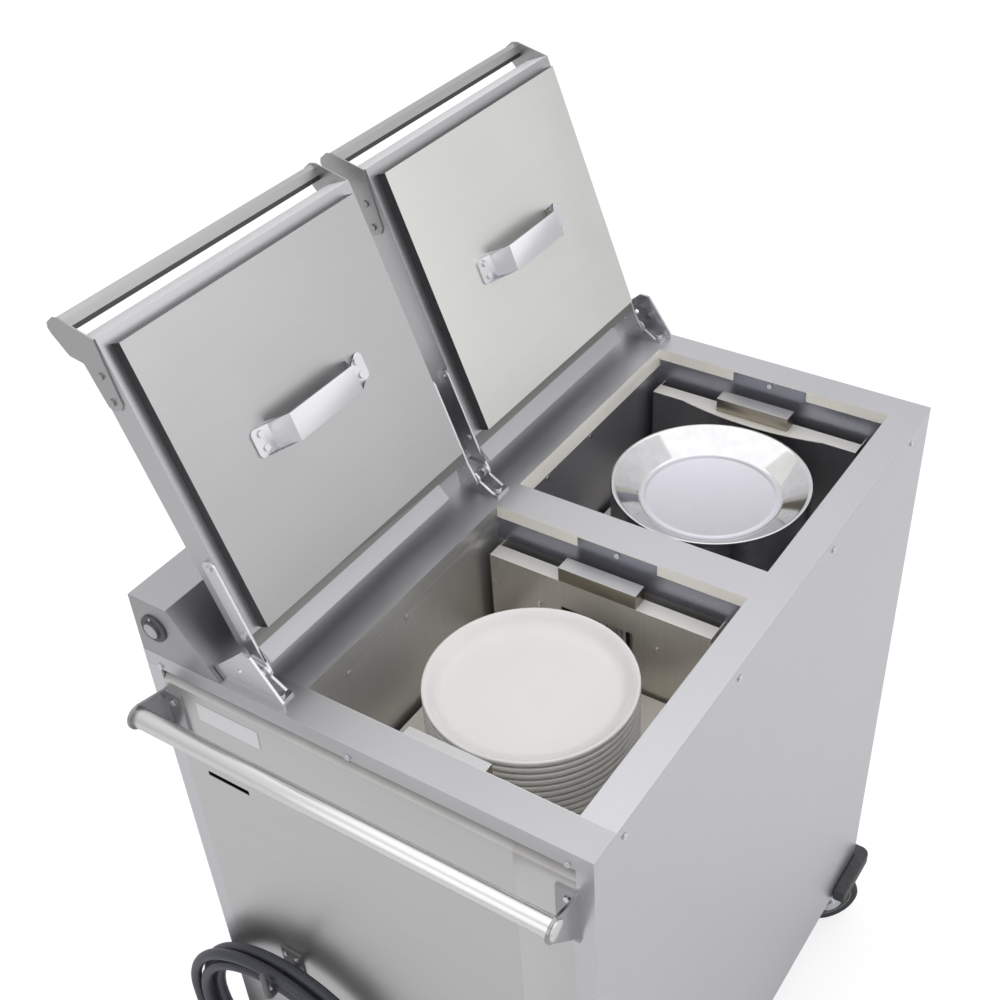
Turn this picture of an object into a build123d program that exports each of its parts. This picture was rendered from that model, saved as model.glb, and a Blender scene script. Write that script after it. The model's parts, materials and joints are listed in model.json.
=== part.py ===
from build123d import *
import math
import os

# Plate dispenser cart: a heated stainless cart with two wells for stacks of plates,
# two lids that swing up and back, and four swivel casters.
# Millimetres. While modelling, x runs from the handle end, y from the front panel and
# z from the floor. The finished pieces are moved so that the origin is at the middle
# of the cart's footprint, on the floor.

# ---------------------------------------------------------------- driving sizes
cart_length = 800
cart_width = 536
rim_height = 980
panel_bottom = 108
sheet = 1.5
deck_sheet = 2
thin_sheet = 1.2
gap = 0.3

# openings in the deck
end_rim = 40
front_rim = 38
divider = 48
rear_deck = 185
bay_length = (cart_length - 2 * end_rim - divider) / 2
bay_depth = cart_width - front_rim - rear_deck
flange_drop = 15
rear_flange_drop = 25
notch_width = 100
deck_flange = 21
deck_screw_drop = 17
end_screw_inset = 27
end_screw_rear = 20
end_screw_offset = 4
front_screw_near = 52
front_screw_far = 59
notch_screw_drop = 9
rear_wall_screw_drop = 31
rear_wall_screw_reach = (60, 160)

# end faces
corner_return = 19
corner_strip = 67
cove_bottom = 37
cove_depth = 8
cove_rise = 13
cove_lap = 1.2
vent_width = 58
vent_height = 7
vent_inset = 78
vent_drop = 163.5
label_width = 83
label_height = 25
label_thickness = 0.8
label_inset = 101.5
label_drop = 61.5

# base pan and corner posts
pan_underside = 131
pan_sheet = 3
pan_flange = 26
post_leg = 30
post_sheet = 2

# control housing along the back
housing_depth = 105
housing_top_depth = 51
housing_height = 73
knob_inset = 27.4
knob_height = 39.5
knob_radius = 16
knob_skirt = 3
knob_grip_radius = 10.5
knob_grip = 3
knob_pointer = 3
knob_pointer_reach = 2
spindle_radius = 3
spindle_length = 18
spindle_gap = 0.5
thermostat_size = 34
thermostat_trim = 4
wiring_x = 20
wiring_inset = 66
wiring_length = 60
wiring_width = 40

# lids, drawn closed and then swung open about the hinge pivot
lid_travel = 111.07
pivot_behind = 41
pivot_height = 13.6
pin_radius = 4
pan_side_clearance = 2.5
pan_clearance = 3
pan_length = bay_length - 2 * pan_side_clearance
pan_depth = bay_depth - 2 * pan_clearance
pan_drop = 4
pan_step = 12
pan_flange_width = 10
lid_side = 12.2
lid_rear = 17
lid_front = 11
lid_thickness = 31
lip_reach = 17.2
lip_drop = 7.1
lip_short = 53

# hinge arms and brackets
arm_sheet = 3
arm_width = 16
arm_reach = 78
arm_line = -20.5
arm_bend = -20
arm_screw_places = [(-1.2, arm_line), (77.4, arm_line)]
stop_reach = 14
ear_radius = 10
bracket_before = 34
bracket_behind = 19
ear_setback = 2
stop_radius = 3
stop_cover = 4
foot_width = 18
foot_screw_setback = 7
pin_head = 3

# upright outer side of each end bracket, as distances behind the hinge pin and up from the deck
side_plate = [(-39, 0), (37.5, 0), (48, 14.5), (7, 52), (-6, 52), (-39, 6)]
side_hole_place = (11, 26)
side_hole_radius = 3

# grip bar on the front of each lid, as distances past the pan's front edge
# and out from the pan's face (negative behind it)
grip_sheet = 1.5
grip_profile = [(18, -50), (31, -50), (35, -55), (32, -66), (27, -69), (16, -64)]
cheek_profile = [(-54, -21), (-59, -26), (-59, -37.5), (-54, -42.4), (-30, -44), (-10, -45), (-1, -60),
                 (22, -69), (28, -70), (33, -67), (36.5, -57), (35, -49), (11, -14)]
cheek_screw_places = [(-50, -33), (-24, -30)]

# strap handle on each pan
strap_spacing = 148
strap_foot = 22
strap_width = 30
strap_bridge = 100
strap_rise = 24.5
strap_sheet = 2
strap_offset = 1.5
strap_corner = 6

# side guides in each bay
guide_inset = 30
guide_offset = bay_length / 2 - guide_inset
guide_shift = 8.5
guide_end_gap = 16
guide_length = bay_depth - 2 * guide_end_gap
guide_drop = 46
guide_ledge = 20
guide_slot = 92
slot_margin = 9
guide_bow = 11
bow_length = 190
tab_length = 98
tab_height = 19
tab_depth = 20
guide_screw_spacing = 152
guide_screw_drop = 92

# carriages, rods and springs
platform_drop = 165
platform_half = guide_offset - 4
platform_end_gap = 5
platform_sheet = 2
platform_flange = 10
carriage_raise = 75
carriage_lower = 420
rod_offset = guide_offset + 16
rod_radius = 4
rod_clearance = 0.08
bush_radius = 8.5
bush_height = 30
arm_bar_width = guide_slot - 16
arm_bar_sheet = 4
spring_radius = 7
spring_bore = 5
spring_spacing = 52
spring_stem = 1.5
spring_end = 8
spring_wall = 2
spring_gap = 0.05

# heating loops
heater_near = 110
heater_far = 100
heater_half = 60
heater_rise = 40
heater_bend = 40
heater_foot_bend = 25
heater_radius = 4

# plates
china_count = 11
china_radius = 114
china_pitch = 9
china_foot_radius = 72
china_rim_height = 23
china_flat_radius = 90
china_flat_rise = 5.5
china_shoulder = (99, 12.5)
china_offset = (-5, 2.6)
steel_count = 16
steel_radius = 121
steel_pitch = 6.2
steel_sheet = 1
steel_flat_radius = 85
steel_rim_height = 24
steel_offset = (4.2, -3.9)

# push handle
handle_radius = 11
handle_wall = 1.5
handle_reach = 41
handle_drop = 56
handle_end = 13
handle_cap = 2
bracket_eye = 3
bracket_sheet = 3
bracket_y = 15
bracket_flange = 22
bracket_top_rise = 5
bracket_nose_rise = 14
bracket_nose_back = 3
bracket_chin_out = 5
bracket_foot_drop = 62
bracket_flange_drop = 66
bracket_screw_drops = (8, 53)
bracket_screw_inset = 9
handle_clearance = 0.05

# corner bumpers
bumper_arm = 105
bumper_proud = 20
bumper_height = 23
bumper_bottom = 102
bumper_radius = 14

# casters
caster_inset_x = 65
caster_inset_y = 48
caster_trail = 35
caster_angle = -45
wheel_radius = 50
wheel_width = 30
tyre_bore = 38
hub_boss_radius = 13
hub_width = 34
axle_radius = 5
axle_clearance = 0.08
axle_head_radius = 8
axle_head = 4
axle_nut_radius = 7.5
axle_nut = 5
axle_tail = 6
fork_half = 22
fork_sheet = 3
leg_boss_radius = 17
leg_front = 8
leg_front_rise = 2
leg_back = 14
leg_back_drop = 8
crown_height = 113
crown_sheet = 4.7
crown_radius = 28
crown_back = 20
crown_front = 24
kingpin_radius = 6
kingpin_head = 3.5
kingpin_head_proud = 4
plate_length = 92
plate_width = 72
plate_sheet = 3
raceway_radius = 26
raceway_bottom = 118.2
bolt_spacing_x = 70
bolt_spacing_y = 50
pedal_pivot_u = 42
pedal_pivot_z = 88
pedal_start_u = 72
pedal_end_u = 100
pedal_plate_z = 92
pedal_sheet = 2.5
pedal_pin_radius = 3
pedal_ear = 5
pedal_ear_front = 4
pedal_count = 2

# mains cord, its gland, hook and plug
cord_radius = 7
coil_radius = 158
coil_step = 8.6
coil_layer_step = 16
coil_near_x = -19
coil_inset = 111
coil_centre_z = 375
coil_half_turns_in = 3
cord_end_run = 2 * cord_radius
plug_drop = 84
gland_z = 205
gland_radius = 11
gland_stub_radius = 8
gland_nut_radius = 12.5
gland_nut_height = 12
gland_rise = 10
gland_collar = 5
gland_collar_proud = 3
gland_back_nut = 4
gland_back_nut_proud = 2
hook_radius = 4
hook_bend = 8
hook_tip_x = -50
hook_tip_rise = 45
hook_plate = 2
hook_plate_half = 16
hook_plate_rise = 34.8
hook_plate_drop = 12
hook_screw_rise = 24.8
hook_screw_half = 9
lead_straight = 33
lead_swing_rise = 73
lead_swing = (3, 7)
lead_top_run = 21
plug_length = 61
plug_neck_radius = 12
plug_body_radius = 19
plug_neck = 14
plug_shoulder = 30
plug_edge = 3
plug_round = 2
plug_earth_reach = 0.9
plug_pin_radius = 2.4
plug_pin_length = 19
plug_pin_spacing = 19

# fasteners: head radius, head height, shank radius, shank length
small_screw = (3.6, 2, 1.9, 5)
foot_screw = (4.2, 2.6, 2.4, 5)
caster_bolt = (6.5, 5, 4, 12)
screw_clearance = 0.1

# ---------------------------------------------------------------- derived places
bay_x = [end_rim, end_rim + bay_length + divider]
bay_centre_x = [x + bay_length / 2 for x in bay_x]
vent_centre_y = cart_width - vent_inset
label_centre_y = cart_width - label_inset
housing_front_y = cart_width - housing_depth
housing_top_y = cart_width - housing_top_depth
knob_y = cart_width - knob_inset
wiring_y = cart_width - wiring_inset
bay_centre_y = front_rim + bay_depth / 2
bay_rear_y = front_rim + bay_depth
pan_top = pan_underside + pan_sheet
deck_underside = rim_height - deck_sheet
guide_centre_y = bay_centre_y + guide_shift
pan_rear_y = bay_rear_y - pan_clearance
pivot_y = bay_rear_y + pivot_behind
bracket_front_y = pivot_y - bracket_before
bracket_rear_y = pivot_y + bracket_behind
strap_place = pan_depth / 2 + strap_offset
pan_face_z = rim_height - pan_drop
pivot_z = rim_height + pivot_height
lid_left = [c - pan_length / 2 - lid_side for c in bay_centre_x]
lid_right = [c + pan_length / 2 + lid_side for c in bay_centre_x]
pivot_s = pan_rear_y - pivot_y
pivot_n = pan_face_z - pivot_z
frame_z = pan_face_z + pan_step
lid_top_z = frame_z + lid_thickness
ledge_z = rim_height - guide_drop
platform_z = rim_height - platform_drop
slot_top = platform_z - platform_sheet + carriage_raise + slot_margin
slot_bottom = platform_z - platform_sheet - arm_bar_sheet - carriage_lower - slot_margin
coil_far_x = coil_near_x - coil_layer_step
coil_centre_y = cart_width - coil_inset
coil_front_y = coil_centre_y - coil_radius
coil_inner_top = coil_centre_z + coil_radius - (coil_half_turns_in - 0.5) * coil_step
hook_z = coil_inner_top - cord_radius - gap - hook_radius
handle_z = rim_height - handle_drop
casters = [(x, y) for x in (caster_inset_x, cart_length - caster_inset_x)
           for y in (caster_inset_y, cart_width - caster_inset_y)]


# ---------------------------------------------------------------- shape helpers
def box(x0, x1, y0, y1, z0, z1):
    """A block between two opposite corners."""
    middle = Pos((x0 + x1) / 2, (y0 + y1) / 2, (z0 + z1) / 2)
    return middle * Box(x1 - x0, y1 - y0, z1 - z0)


def round_bar(start, end, radius):
    """A round bar from one point to another."""
    line = Vector(*end) - Vector(*start)
    at = Plane(origin=start, z_dir=line)
    return extrude(at * Circle(radius), amount=line.length, dir=line.normalized())


def prism_x(points, x0, x1):
    """An outline in (y, z) carried from x0 to x1."""
    return extrude(Plane.YZ.offset(x0) * Polygon(*points, align=None), amount=x1 - x0, dir=(1, 0, 0))


def prism_y(points, y0, y1):
    """An outline in (x, z) carried from y0 to y1."""
    face = Plane(origin=(0, y0, 0), x_dir=(1, 0, 0), z_dir=(0, -1, 0)) * Polygon(*points, align=None)
    return extrude(face, amount=y1 - y0, dir=(0, 1, 0))


def prism_z(points, z0, z1):
    """An outline in (x, y) carried from z0 to z1."""
    return extrude(Plane.XY.offset(z0) * Polygon(*points, align=None), amount=z1 - z0, dir=(0, 0, 1))


def turned(profile, x, y, z):
    """A profile of (radius, height) points turned about an upright axis at x, y."""
    face = Plane.XZ * Polygon(*profile, align=None)
    return Pos(x, y, z) * revolve(face, Axis.Z, 360)


def mirror_x(shape, x):
    """The same shape on the other side of the plane at x."""
    return mirror(shape, about=Plane.YZ.offset(x))


def mirror_y(shape, y):
    """The same shape on the other side of the plane at y."""
    return mirror(shape, about=Plane(origin=(0, y, 0), x_dir=(1, 0, 0), z_dir=(0, 1, 0)))


def tube_along(points, radii, radius):
    """A round tube whose path is straight runs joined by tangent arcs."""
    path = FilletPolyline(*points, radius=radii)
    start = Plane(origin=path @ 0, z_dir=path % 0)
    solid = sweep(start * Circle(radius), path=path)
    return solid, path


def screws(points, outward, size):
    """Pan-head screws whose heads sit on a surface and face outward."""
    head_radius, head_height, shank_radius, shank_length = size
    out = Vector(*outward)
    made = []
    for point in points:
        seat = Vector(*point)
        head = round_bar(seat, seat + out * head_height, head_radius)
        shank = round_bar(seat - out * shank_length, seat + out * head_height / 2, shank_radius)
        made.append(head + shank)
    return made


def screw_holes(shape, points, outward, size):
    """The shape with a hole for each screw's shank."""
    out = Vector(*outward)
    for point in points:
        seat = Vector(*point)
        reach = out * (size[3] + 1)
        shape = shape - round_bar(seat - reach, seat + reach, size[2] + screw_clearance)
    return shape


def lid_point(s, n):
    """A place on a closed lid: s from the pan's rear edge, n out from the pan's face."""
    return (pan_rear_y - s, pan_face_z - n)


def open_lid(shape):
    """A lid piece swung from closed to its rest, leaning back on the stops."""
    pivot = Axis((0, pivot_y, pivot_z), (1, 0, 0))
    return shape.rotate(pivot, -lid_travel)


# ---------------------------------------------------------------- screw places
deck_screw_z = rim_height - deck_screw_drop
deck_end_screws = [(0, y, deck_screw_z) for y in
                   (end_screw_inset, cart_width / 2 + end_screw_offset, cart_width - end_screw_rear)]
front_screw_spacing = (cart_length - front_screw_near - front_screw_far) / 3
deck_front_screws = [(front_screw_near + k * front_screw_spacing, 0, deck_screw_z) for k in range(4)]
label_side = (-1, 0, 0)
far_end_screws = [(cart_length, y, z) for x, y, z in deck_end_screws]
deck_rear_screws = [(x, cart_width, z) for x, y, z in deck_front_screws]


def liner_wall(bay, side):
    """x of a well liner's inner face on the -1 or +1 side of its bay."""
    return bay_centre_x[bay] + side * (bay_length / 2 + sheet)


def notch_screws(bay, side):
    return [(liner_wall(bay, side), bay_centre_y, rim_height - notch_screw_drop)]


def rear_wall_screws(bay):
    wall_y, z = bay_rear_y + sheet, rim_height - rear_wall_screw_drop
    return [(bay_x[bay] + reach, wall_y, z) for reach in rear_wall_screw_reach]


def guide_screws(bay, side):
    wall = bay_centre_x[bay] + side * guide_offset
    spread = guide_screw_spacing / 2
    return [(wall, guide_centre_y + d, rim_height - guide_screw_drop) for d in (-spread, spread)]


def caster_bolts(x, y):
    spots = [(sx * bolt_spacing_x / 2, sy * bolt_spacing_y / 2) for sx in (-1, 1) for sy in (-1, 1)]
    return [(x + dx, y + dy, pan_underside - plate_sheet) for dx, dy in spots]


# ears of the hinge brackets: one outside each lid side, as (x of inner face, direction away)
ears = [(lid_left[0] - arm_sheet - gap, -1), (lid_right[0] + arm_sheet + gap, 1),
        (lid_left[1] - arm_sheet - gap, -1), (lid_right[1] + arm_sheet + gap, 1)]
foot_reach = arm_sheet + (foot_width - arm_sheet) / 2
bracket_feet = [(x, bracket_front_y + foot_screw_setback, rim_height + arm_sheet)
                for x in (ears[0][0] - foot_reach, cart_length / 2, ears[3][0] + foot_reach)]
handle_screws = [(-bracket_sheet, bracket_y + bracket_sheet + bracket_screw_inset, handle_z - drop)
                 for drop in bracket_screw_drops]
handle_screws += [(x, cart_width - y, z) for x, y, z in handle_screws]
hook_screws = [(-hook_plate, coil_centre_y + side * hook_screw_half, hook_z + hook_screw_rise)
               for side in (-1, 1)]


# ---------------------------------------------------------------- body
def chassis_base():
    """Base pan that the casters bolt to, with four corner posts that carry the deck."""
    inner_x = cart_length - sheet
    inner_y = cart_width - sheet
    frame = box(sheet, inner_x, sheet, inner_y, pan_underside, pan_top)
    walls = box(sheet, inner_x, sheet, inner_y, pan_top, pan_top + pan_flange)
    wall = sheet + post_sheet
    walls -= box(wall, cart_length - wall, wall, cart_width - wall, pan_underside, rim_height)
    frame += walls
    post_top = rim_height - deck_flange
    post = box(sheet, sheet + post_leg, sheet, wall, pan_top, post_top)
    post += box(sheet, wall, sheet, corner_return - gap, pan_top, post_top)
    pair = post + mirror_y(post, cart_width / 2)
    frame = frame + pair + mirror_x(pair, cart_length / 2)
    for x, y in casters:
        frame = screw_holes(frame, caster_bolts(x, y), (0, 0, -1), caster_bolt)
    return frame


def front_panel():
    """Long front panel with narrow returns round both ends."""
    top = rim_height - deck_sheet
    panel = box(0, cart_length, 0, sheet, panel_bottom, top)
    side = box(0, sheet, sheet, corner_return, panel_bottom, rim_height - deck_flange)
    panel += side + mirror_x(side, cart_length / 2)
    return screw_holes(panel, deck_front_screws, (0, -1, 0), small_screw)


def rear_panel():
    """The same panel at the back."""
    return mirror_y(front_panel(), cart_width / 2)


def end_profile(y0, y1):
    """End sheet between two places, with the long hollow under the deck's edge."""
    low = rim_height - cove_bottom
    fold = low + cove_rise
    deep = cove_depth
    outline = [(0, panel_bottom), (sheet, panel_bottom), (sheet, low - cove_lap),
               (deep + sheet, fold - cove_lap), (deep + sheet, deck_underside), (deep, deck_underside),
               (deep, fold), (0, low)]
    return prism_y(outline, y0, y1)


def end_corner_strip():
    """Narrow fixed strip of the handle end, beside the front corner."""
    strip = end_profile(corner_return, corner_return + corner_strip)
    front_half = [p for p in handle_screws if p[1] < cart_width / 2]
    return screw_holes(strip, front_half, label_side, small_screw)


def end_access_panel():
    """Removable panel of the handle end, with the vent slot and the cord's hole."""
    panel = end_profile(corner_return + corner_strip, cart_width - corner_return)
    slot_y = vent_centre_y - vent_width / 2
    slot_z = rim_height - vent_drop - vent_height / 2
    panel -= box(-1, sheet + 1, slot_y, slot_y + vent_width, slot_z, slot_z + vent_height)
    panel -= round_bar((-1, coil_front_y, gland_z), (sheet + 1, coil_front_y, gland_z),
                       gland_stub_radius + screw_clearance)
    panel = screw_holes(panel, hook_screws, label_side, small_screw)
    rear_half = [p for p in handle_screws if p[1] > cart_width / 2]
    return screw_holes(panel, rear_half, label_side, small_screw)


def far_end_panel():
    """One panel closes the other end."""
    return mirror_x(end_profile(corner_return, cart_width - corner_return), cart_length / 2)


def top_deck():
    """Deck sheet with two openings, its outer flanges and the flanges round the openings."""
    deck = box(0, cart_length, 0, cart_width, deck_underside, rim_height)
    skirt_low = rim_height - deck_flange
    end = box(0, sheet, sheet, cart_width - sheet, skirt_low, deck_underside)
    long_side = box(sheet, cart_length - sheet, sheet, 2 * sheet, skirt_low, deck_underside)
    deck += end + mirror_x(end, cart_length / 2) + long_side + mirror_y(long_side, cart_width / 2)
    for x in bay_x:
        x1 = x + bay_length
        low = rim_height - flange_drop
        rear_low = rim_height - rear_flange_drop
        ring = box(x - sheet, x1 + sheet, front_rim - sheet, bay_rear_y, low, deck_underside)
        ring += box(x - sheet, x1 + sheet, bay_rear_y, bay_rear_y + sheet, rear_low, deck_underside)
        notch = box(x - 2 * sheet, x1 + 2 * sheet, bay_centre_y - notch_width / 2,
                    bay_centre_y + notch_width / 2, low - sheet, deck_underside)
        opening = box(x, x1, front_rim, bay_rear_y, rear_low - sheet, rim_height + sheet)
        deck = deck + (ring - notch) - opening
    deck -= box(wiring_x, wiring_x + wiring_length, wiring_y, wiring_y + wiring_width,
                deck_underside - 1, rim_height + 1)
    deck = screw_holes(deck, bracket_feet, (0, 0, 1), foot_screw)
    deck = screw_holes(deck, deck_end_screws, (-1, 0, 0), small_screw)
    deck = screw_holes(deck, far_end_screws, (1, 0, 0), small_screw)
    deck = screw_holes(deck, deck_front_screws, (0, -1, 0), small_screw)
    return screw_holes(deck, deck_rear_screws, (0, 1, 0), small_screw)


def well_liner(bay):
    """Four-sided sheet well that hangs round its opening and stands on the base pan."""
    x0, x1 = liner_wall(bay, -1), liner_wall(bay, 1)
    y0, y1 = front_rim - sheet, bay_rear_y + sheet
    t = thin_sheet
    liner = box(x0 - t, x1 + t, y0 - t, y1 + t, pan_top, deck_underside)
    liner -= box(x0, x1, y0, y1, pan_top - 1, deck_underside + 1)
    for side in (-1, 1):
        liner = screw_holes(liner, notch_screws(bay, side), (-side, 0, 0), small_screw)
    return screw_holes(liner, rear_wall_screws(bay), (0, -1, 0), small_screw)


def guide_panel(bay):
    """Side guide of a well on its far side: slotted web, top ledge and two end flanges."""
    web = bay_centre_x[bay] + guide_offset
    wall = liner_wall(bay, 1)
    y0, y1 = guide_centre_y - guide_length / 2, guide_centre_y + guide_length / 2
    t = thin_sheet
    panel = box(web, web + t, y0, y1, pan_top, ledge_z)
    panel += box(web, web + guide_ledge, y0, y1, ledge_z - t, ledge_z)
    panel += box(web, wall, y0, y0 + t, pan_top, ledge_z - t)
    panel += box(web, wall, y1 - t, y1, pan_top, ledge_z - t)
    if bay == 1:
        radius = (bow_length ** 2 / 4 + guide_bow ** 2) / (2 * guide_bow)
        disc = Pos(web - guide_bow + radius, guide_centre_y, ledge_z - t / 2) * Cylinder(radius, t)
        panel += disc & box(web - guide_bow, web + t, y0, y1, ledge_z - t, ledge_z)
    panel -= box(web - 1, web + t + 1, guide_centre_y - guide_slot / 2, guide_centre_y + guide_slot / 2,
                 slot_bottom, slot_top)
    rod_x = bay_centre_x[bay] + rod_offset
    panel -= round_bar((rod_x, guide_centre_y, ledge_z - 2 * t), (rod_x, guide_centre_y, ledge_z + t),
                       rod_radius + rod_clearance)
    return screw_holes(panel, guide_screws(bay, 1), (-1, 0, 0), small_screw)


def guide_panels(bay):
    """The guide on each side of the well."""
    far_side = guide_panel(bay)
    return [far_side, mirror_x(far_side, bay_centre_x[bay])]


def rod_places(bay):
    """x of the rods on both sides of a well."""
    return [bay_centre_x[bay] + side * rod_offset for side in (-1, 1)]


def guide_rods():
    """Upright rods that the carriages slide on."""
    top = ledge_z + tab_height - thin_sheet - gap
    rods = []
    for bay in (0, 1):
        for x in rod_places(bay):
            rods.append(round_bar((x, guide_centre_y, pan_top), (x, guide_centre_y, top), rod_radius))
    return rods


def rod_brackets():
    """Raised caps on the guide ledges, over the ends of the rods."""
    t = thin_sheet
    caps = []
    for bay in (0, 1):
        outer = bay_centre_x[bay] + guide_offset + guide_ledge
        y0, y1 = guide_centre_y - tab_length / 2, guide_centre_y + tab_length / 2
        cap = box(outer - tab_depth, outer, y0, y1, ledge_z, ledge_z + tab_height)
        cap -= box(outer - tab_depth + t, outer + 1, y0 + t, y1 - t, ledge_z - 1, ledge_z + tab_height - t)
        caps += [cap, mirror_x(cap, bay_centre_x[bay])]
    return caps


def lift_springs(bay):
    """Extension springs that carry a carriage, two on each side, as plain sleeves."""
    low = platform_z - platform_sheet
    high = ledge_z - thin_sheet
    made = []
    for x in rod_places(bay):
        for d in (-spring_spacing / 2, spring_spacing / 2):
            y = guide_centre_y + d
            start, end = low + spring_end, high - spring_end
            sleeve = round_bar((x, y, start), (x, y, end), spring_radius)
            sleeve -= round_bar((x, y, start + spring_wall), (x, y, end - spring_wall), spring_bore)
            sleeve += round_bar((x, y, low + spring_gap), (x, y, start + spring_wall / 2), spring_stem)
            sleeve += round_bar((x, y, end - spring_wall / 2), (x, y, high - spring_gap), spring_stem)
            made.append(sleeve)
    return made


def heater_elements():
    """A tubular heating loop on the floor of each well, standing on its own two legs."""
    made = []
    for x in bay_centre_x:
        near, far = bay_centre_y - heater_near, bay_centre_y + heater_far
        left, right = x - heater_half, x + heater_half
        up = pan_top + heater_rise
        points = [(left, near, pan_top), (left, near, up), (left, far, up), (right, far, up),
                  (right, near, up), (right, near, pan_top)]
        radii = [heater_foot_bend, heater_bend, heater_bend, heater_foot_bend]
        made.append(tube_along(points, radii, heater_radius)[0])
    return made


def control_housing():
    """Sloped sheet housing along the back of the deck, with closed ends."""
    high = rim_height + housing_height
    t = sheet
    outer = [(housing_front_y, rim_height), (housing_top_y, high), (cart_width, high),
             (cart_width, rim_height)]
    slope = t * math.tan(math.radians(67.5))
    inner = [(housing_front_y + t + slope, rim_height - 1), (housing_front_y + t + slope, rim_height),
             (housing_top_y + slope - t, high - t), (cart_width - t, high - t),
             (cart_width - t, rim_height - 1)]
    housing = prism_x(outer, 0, cart_length) - prism_x(inner, t, cart_length - t)
    centre = (knob_y, rim_height + knob_height)
    return housing - round_bar((-1, *centre), (t + 1, *centre), spindle_radius + spindle_gap)


def thermostat_body():
    """Thermostat behind the housing's end, with the bore that holds the knob's spindle."""
    half = thermostat_size / 2
    z = rim_height + knob_height
    block = box(sheet, sheet + thermostat_size, knob_y - half + thermostat_trim, knob_y + half,
                z - half, z + half)
    return block - round_bar((0, knob_y, z), (spindle_length + gap, knob_y, z),
                             spindle_radius + axle_clearance)


def thermostat_knob():
    """Round knob: a skirt, a raised grip and the spindle that it turns."""
    z = rim_height + knob_height
    skirt = round_bar((-gap, knob_y, z), (-gap - knob_skirt, knob_y, z), knob_radius)
    grip = round_bar((-gap - knob_skirt, knob_y, z), (-gap - knob_skirt - knob_grip, knob_y, z),
                     knob_grip_radius)
    half = knob_pointer / 2
    pointer = box(-gap - knob_skirt - knob_grip - 1, -gap - knob_skirt, knob_y - half, knob_y + half, z,
                  z + knob_grip_radius + knob_pointer_reach)
    return skirt + grip + pointer + round_bar((-gap, knob_y, z), (spindle_length, knob_y, z), spindle_radius)


def label_plate():
    """Bare rating plate on the handle end."""
    z = rim_height - label_drop
    return box(-label_thickness, 0, label_centre_y - label_width / 2, label_centre_y + label_width / 2,
               z - label_height / 2, z + label_height / 2)


# ---------------------------------------------------------------- hinges and lids
def stop_place():
    """Centre of the peg that an open lid's arm leans on."""
    along = stop_reach
    back = arm_width / 2 + (pivot_n - arm_line) * along / (arm_bend - pivot_s) + gap + 1.02 * stop_radius
    tilt = math.radians(lid_travel - 90)
    y = pivot_y + along * math.sin(tilt) + back * math.cos(tilt)
    z = pivot_z + along * math.cos(tilt) - back * math.sin(tilt)
    return y, z


def hinge_ear(inner, away):
    """Upright ear of a hinge bracket, with the pin's hole and the lid's stop peg."""
    x0, x1 = sorted((inner, inner + away * arm_sheet))
    stop_y, stop_z = stop_place()
    outline = [(bracket_front_y + ear_setback, rim_height), (bracket_rear_y, rim_height),
               (stop_y + stop_cover, stop_z), (stop_y, stop_z + stop_cover), (pivot_y, pivot_z + ear_radius),
               (pivot_y - ear_radius, pivot_z)]
    ear = prism_x(outline, x0, x1)
    ear += round_bar((x0, pivot_y, pivot_z), (x1, pivot_y, pivot_z), ear_radius)
    ear += round_bar((inner, stop_y, stop_z), (inner - away * (arm_sheet + gap - 0.4), stop_y, stop_z),
                     stop_radius)
    return ear - round_bar((x0 - 1, pivot_y, pivot_z), (x1 + 1, pivot_y, pivot_z),
                           pin_radius + axle_clearance)


def hinge_brackets():
    """Deck brackets: one at each end, with a tall outer side, and one shared between the lids."""
    low, high = rim_height, rim_height + arm_sheet
    made = []
    for inner, away in (ears[0], ears[3]):
        outer = inner + away * (arm_sheet + foot_width)
        x0, x1 = sorted((inner, outer))
        foot = box(x0, x1, bracket_front_y, bracket_rear_y, low, high)
        x0, x1 = sorted((outer, outer - away * arm_sheet))
        side = prism_x([(pivot_y + back, rim_height + up) for back, up in side_plate], x0, x1)
        hole = (pivot_y + side_hole_place[0], rim_height + side_hole_place[1])
        side -= round_bar((x0 - 1, *hole), (x1 + 1, *hole), side_hole_radius)
        made.append(hinge_ear(inner, away) + foot + side)
    middle = box(ears[1][0], ears[2][0], bracket_front_y, bracket_rear_y, low, high)
    made.append(hinge_ear(*ears[1]) + hinge_ear(*ears[2]) + middle)
    whole = []
    for piece in made:
        whole.append(screw_holes(piece, bracket_feet, (0, 0, 1), foot_screw))
    return whole


def hinge_pins():
    """Pins through the bracket ears and the lid arms, with a head outside."""
    made = []
    for inner, away in ears:
        outside = inner + away * arm_sheet
        tip = inner - away * (gap + arm_sheet)
        pin = round_bar((outside, pivot_y, pivot_z), (tip, pivot_y, pivot_z), pin_radius)
        head = round_bar((outside, pivot_y, pivot_z), (outside + away * pin_head, pivot_y, pivot_z),
                         pin_radius + 2)
        made.append(pin + head)
    return made


def cheek_screws():
    """Places of the screws that hold the grip bar's cheeks, on the side of a closed lid."""
    return [lid_point(pan_depth + s, n) for s, n in cheek_screw_places]


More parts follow.
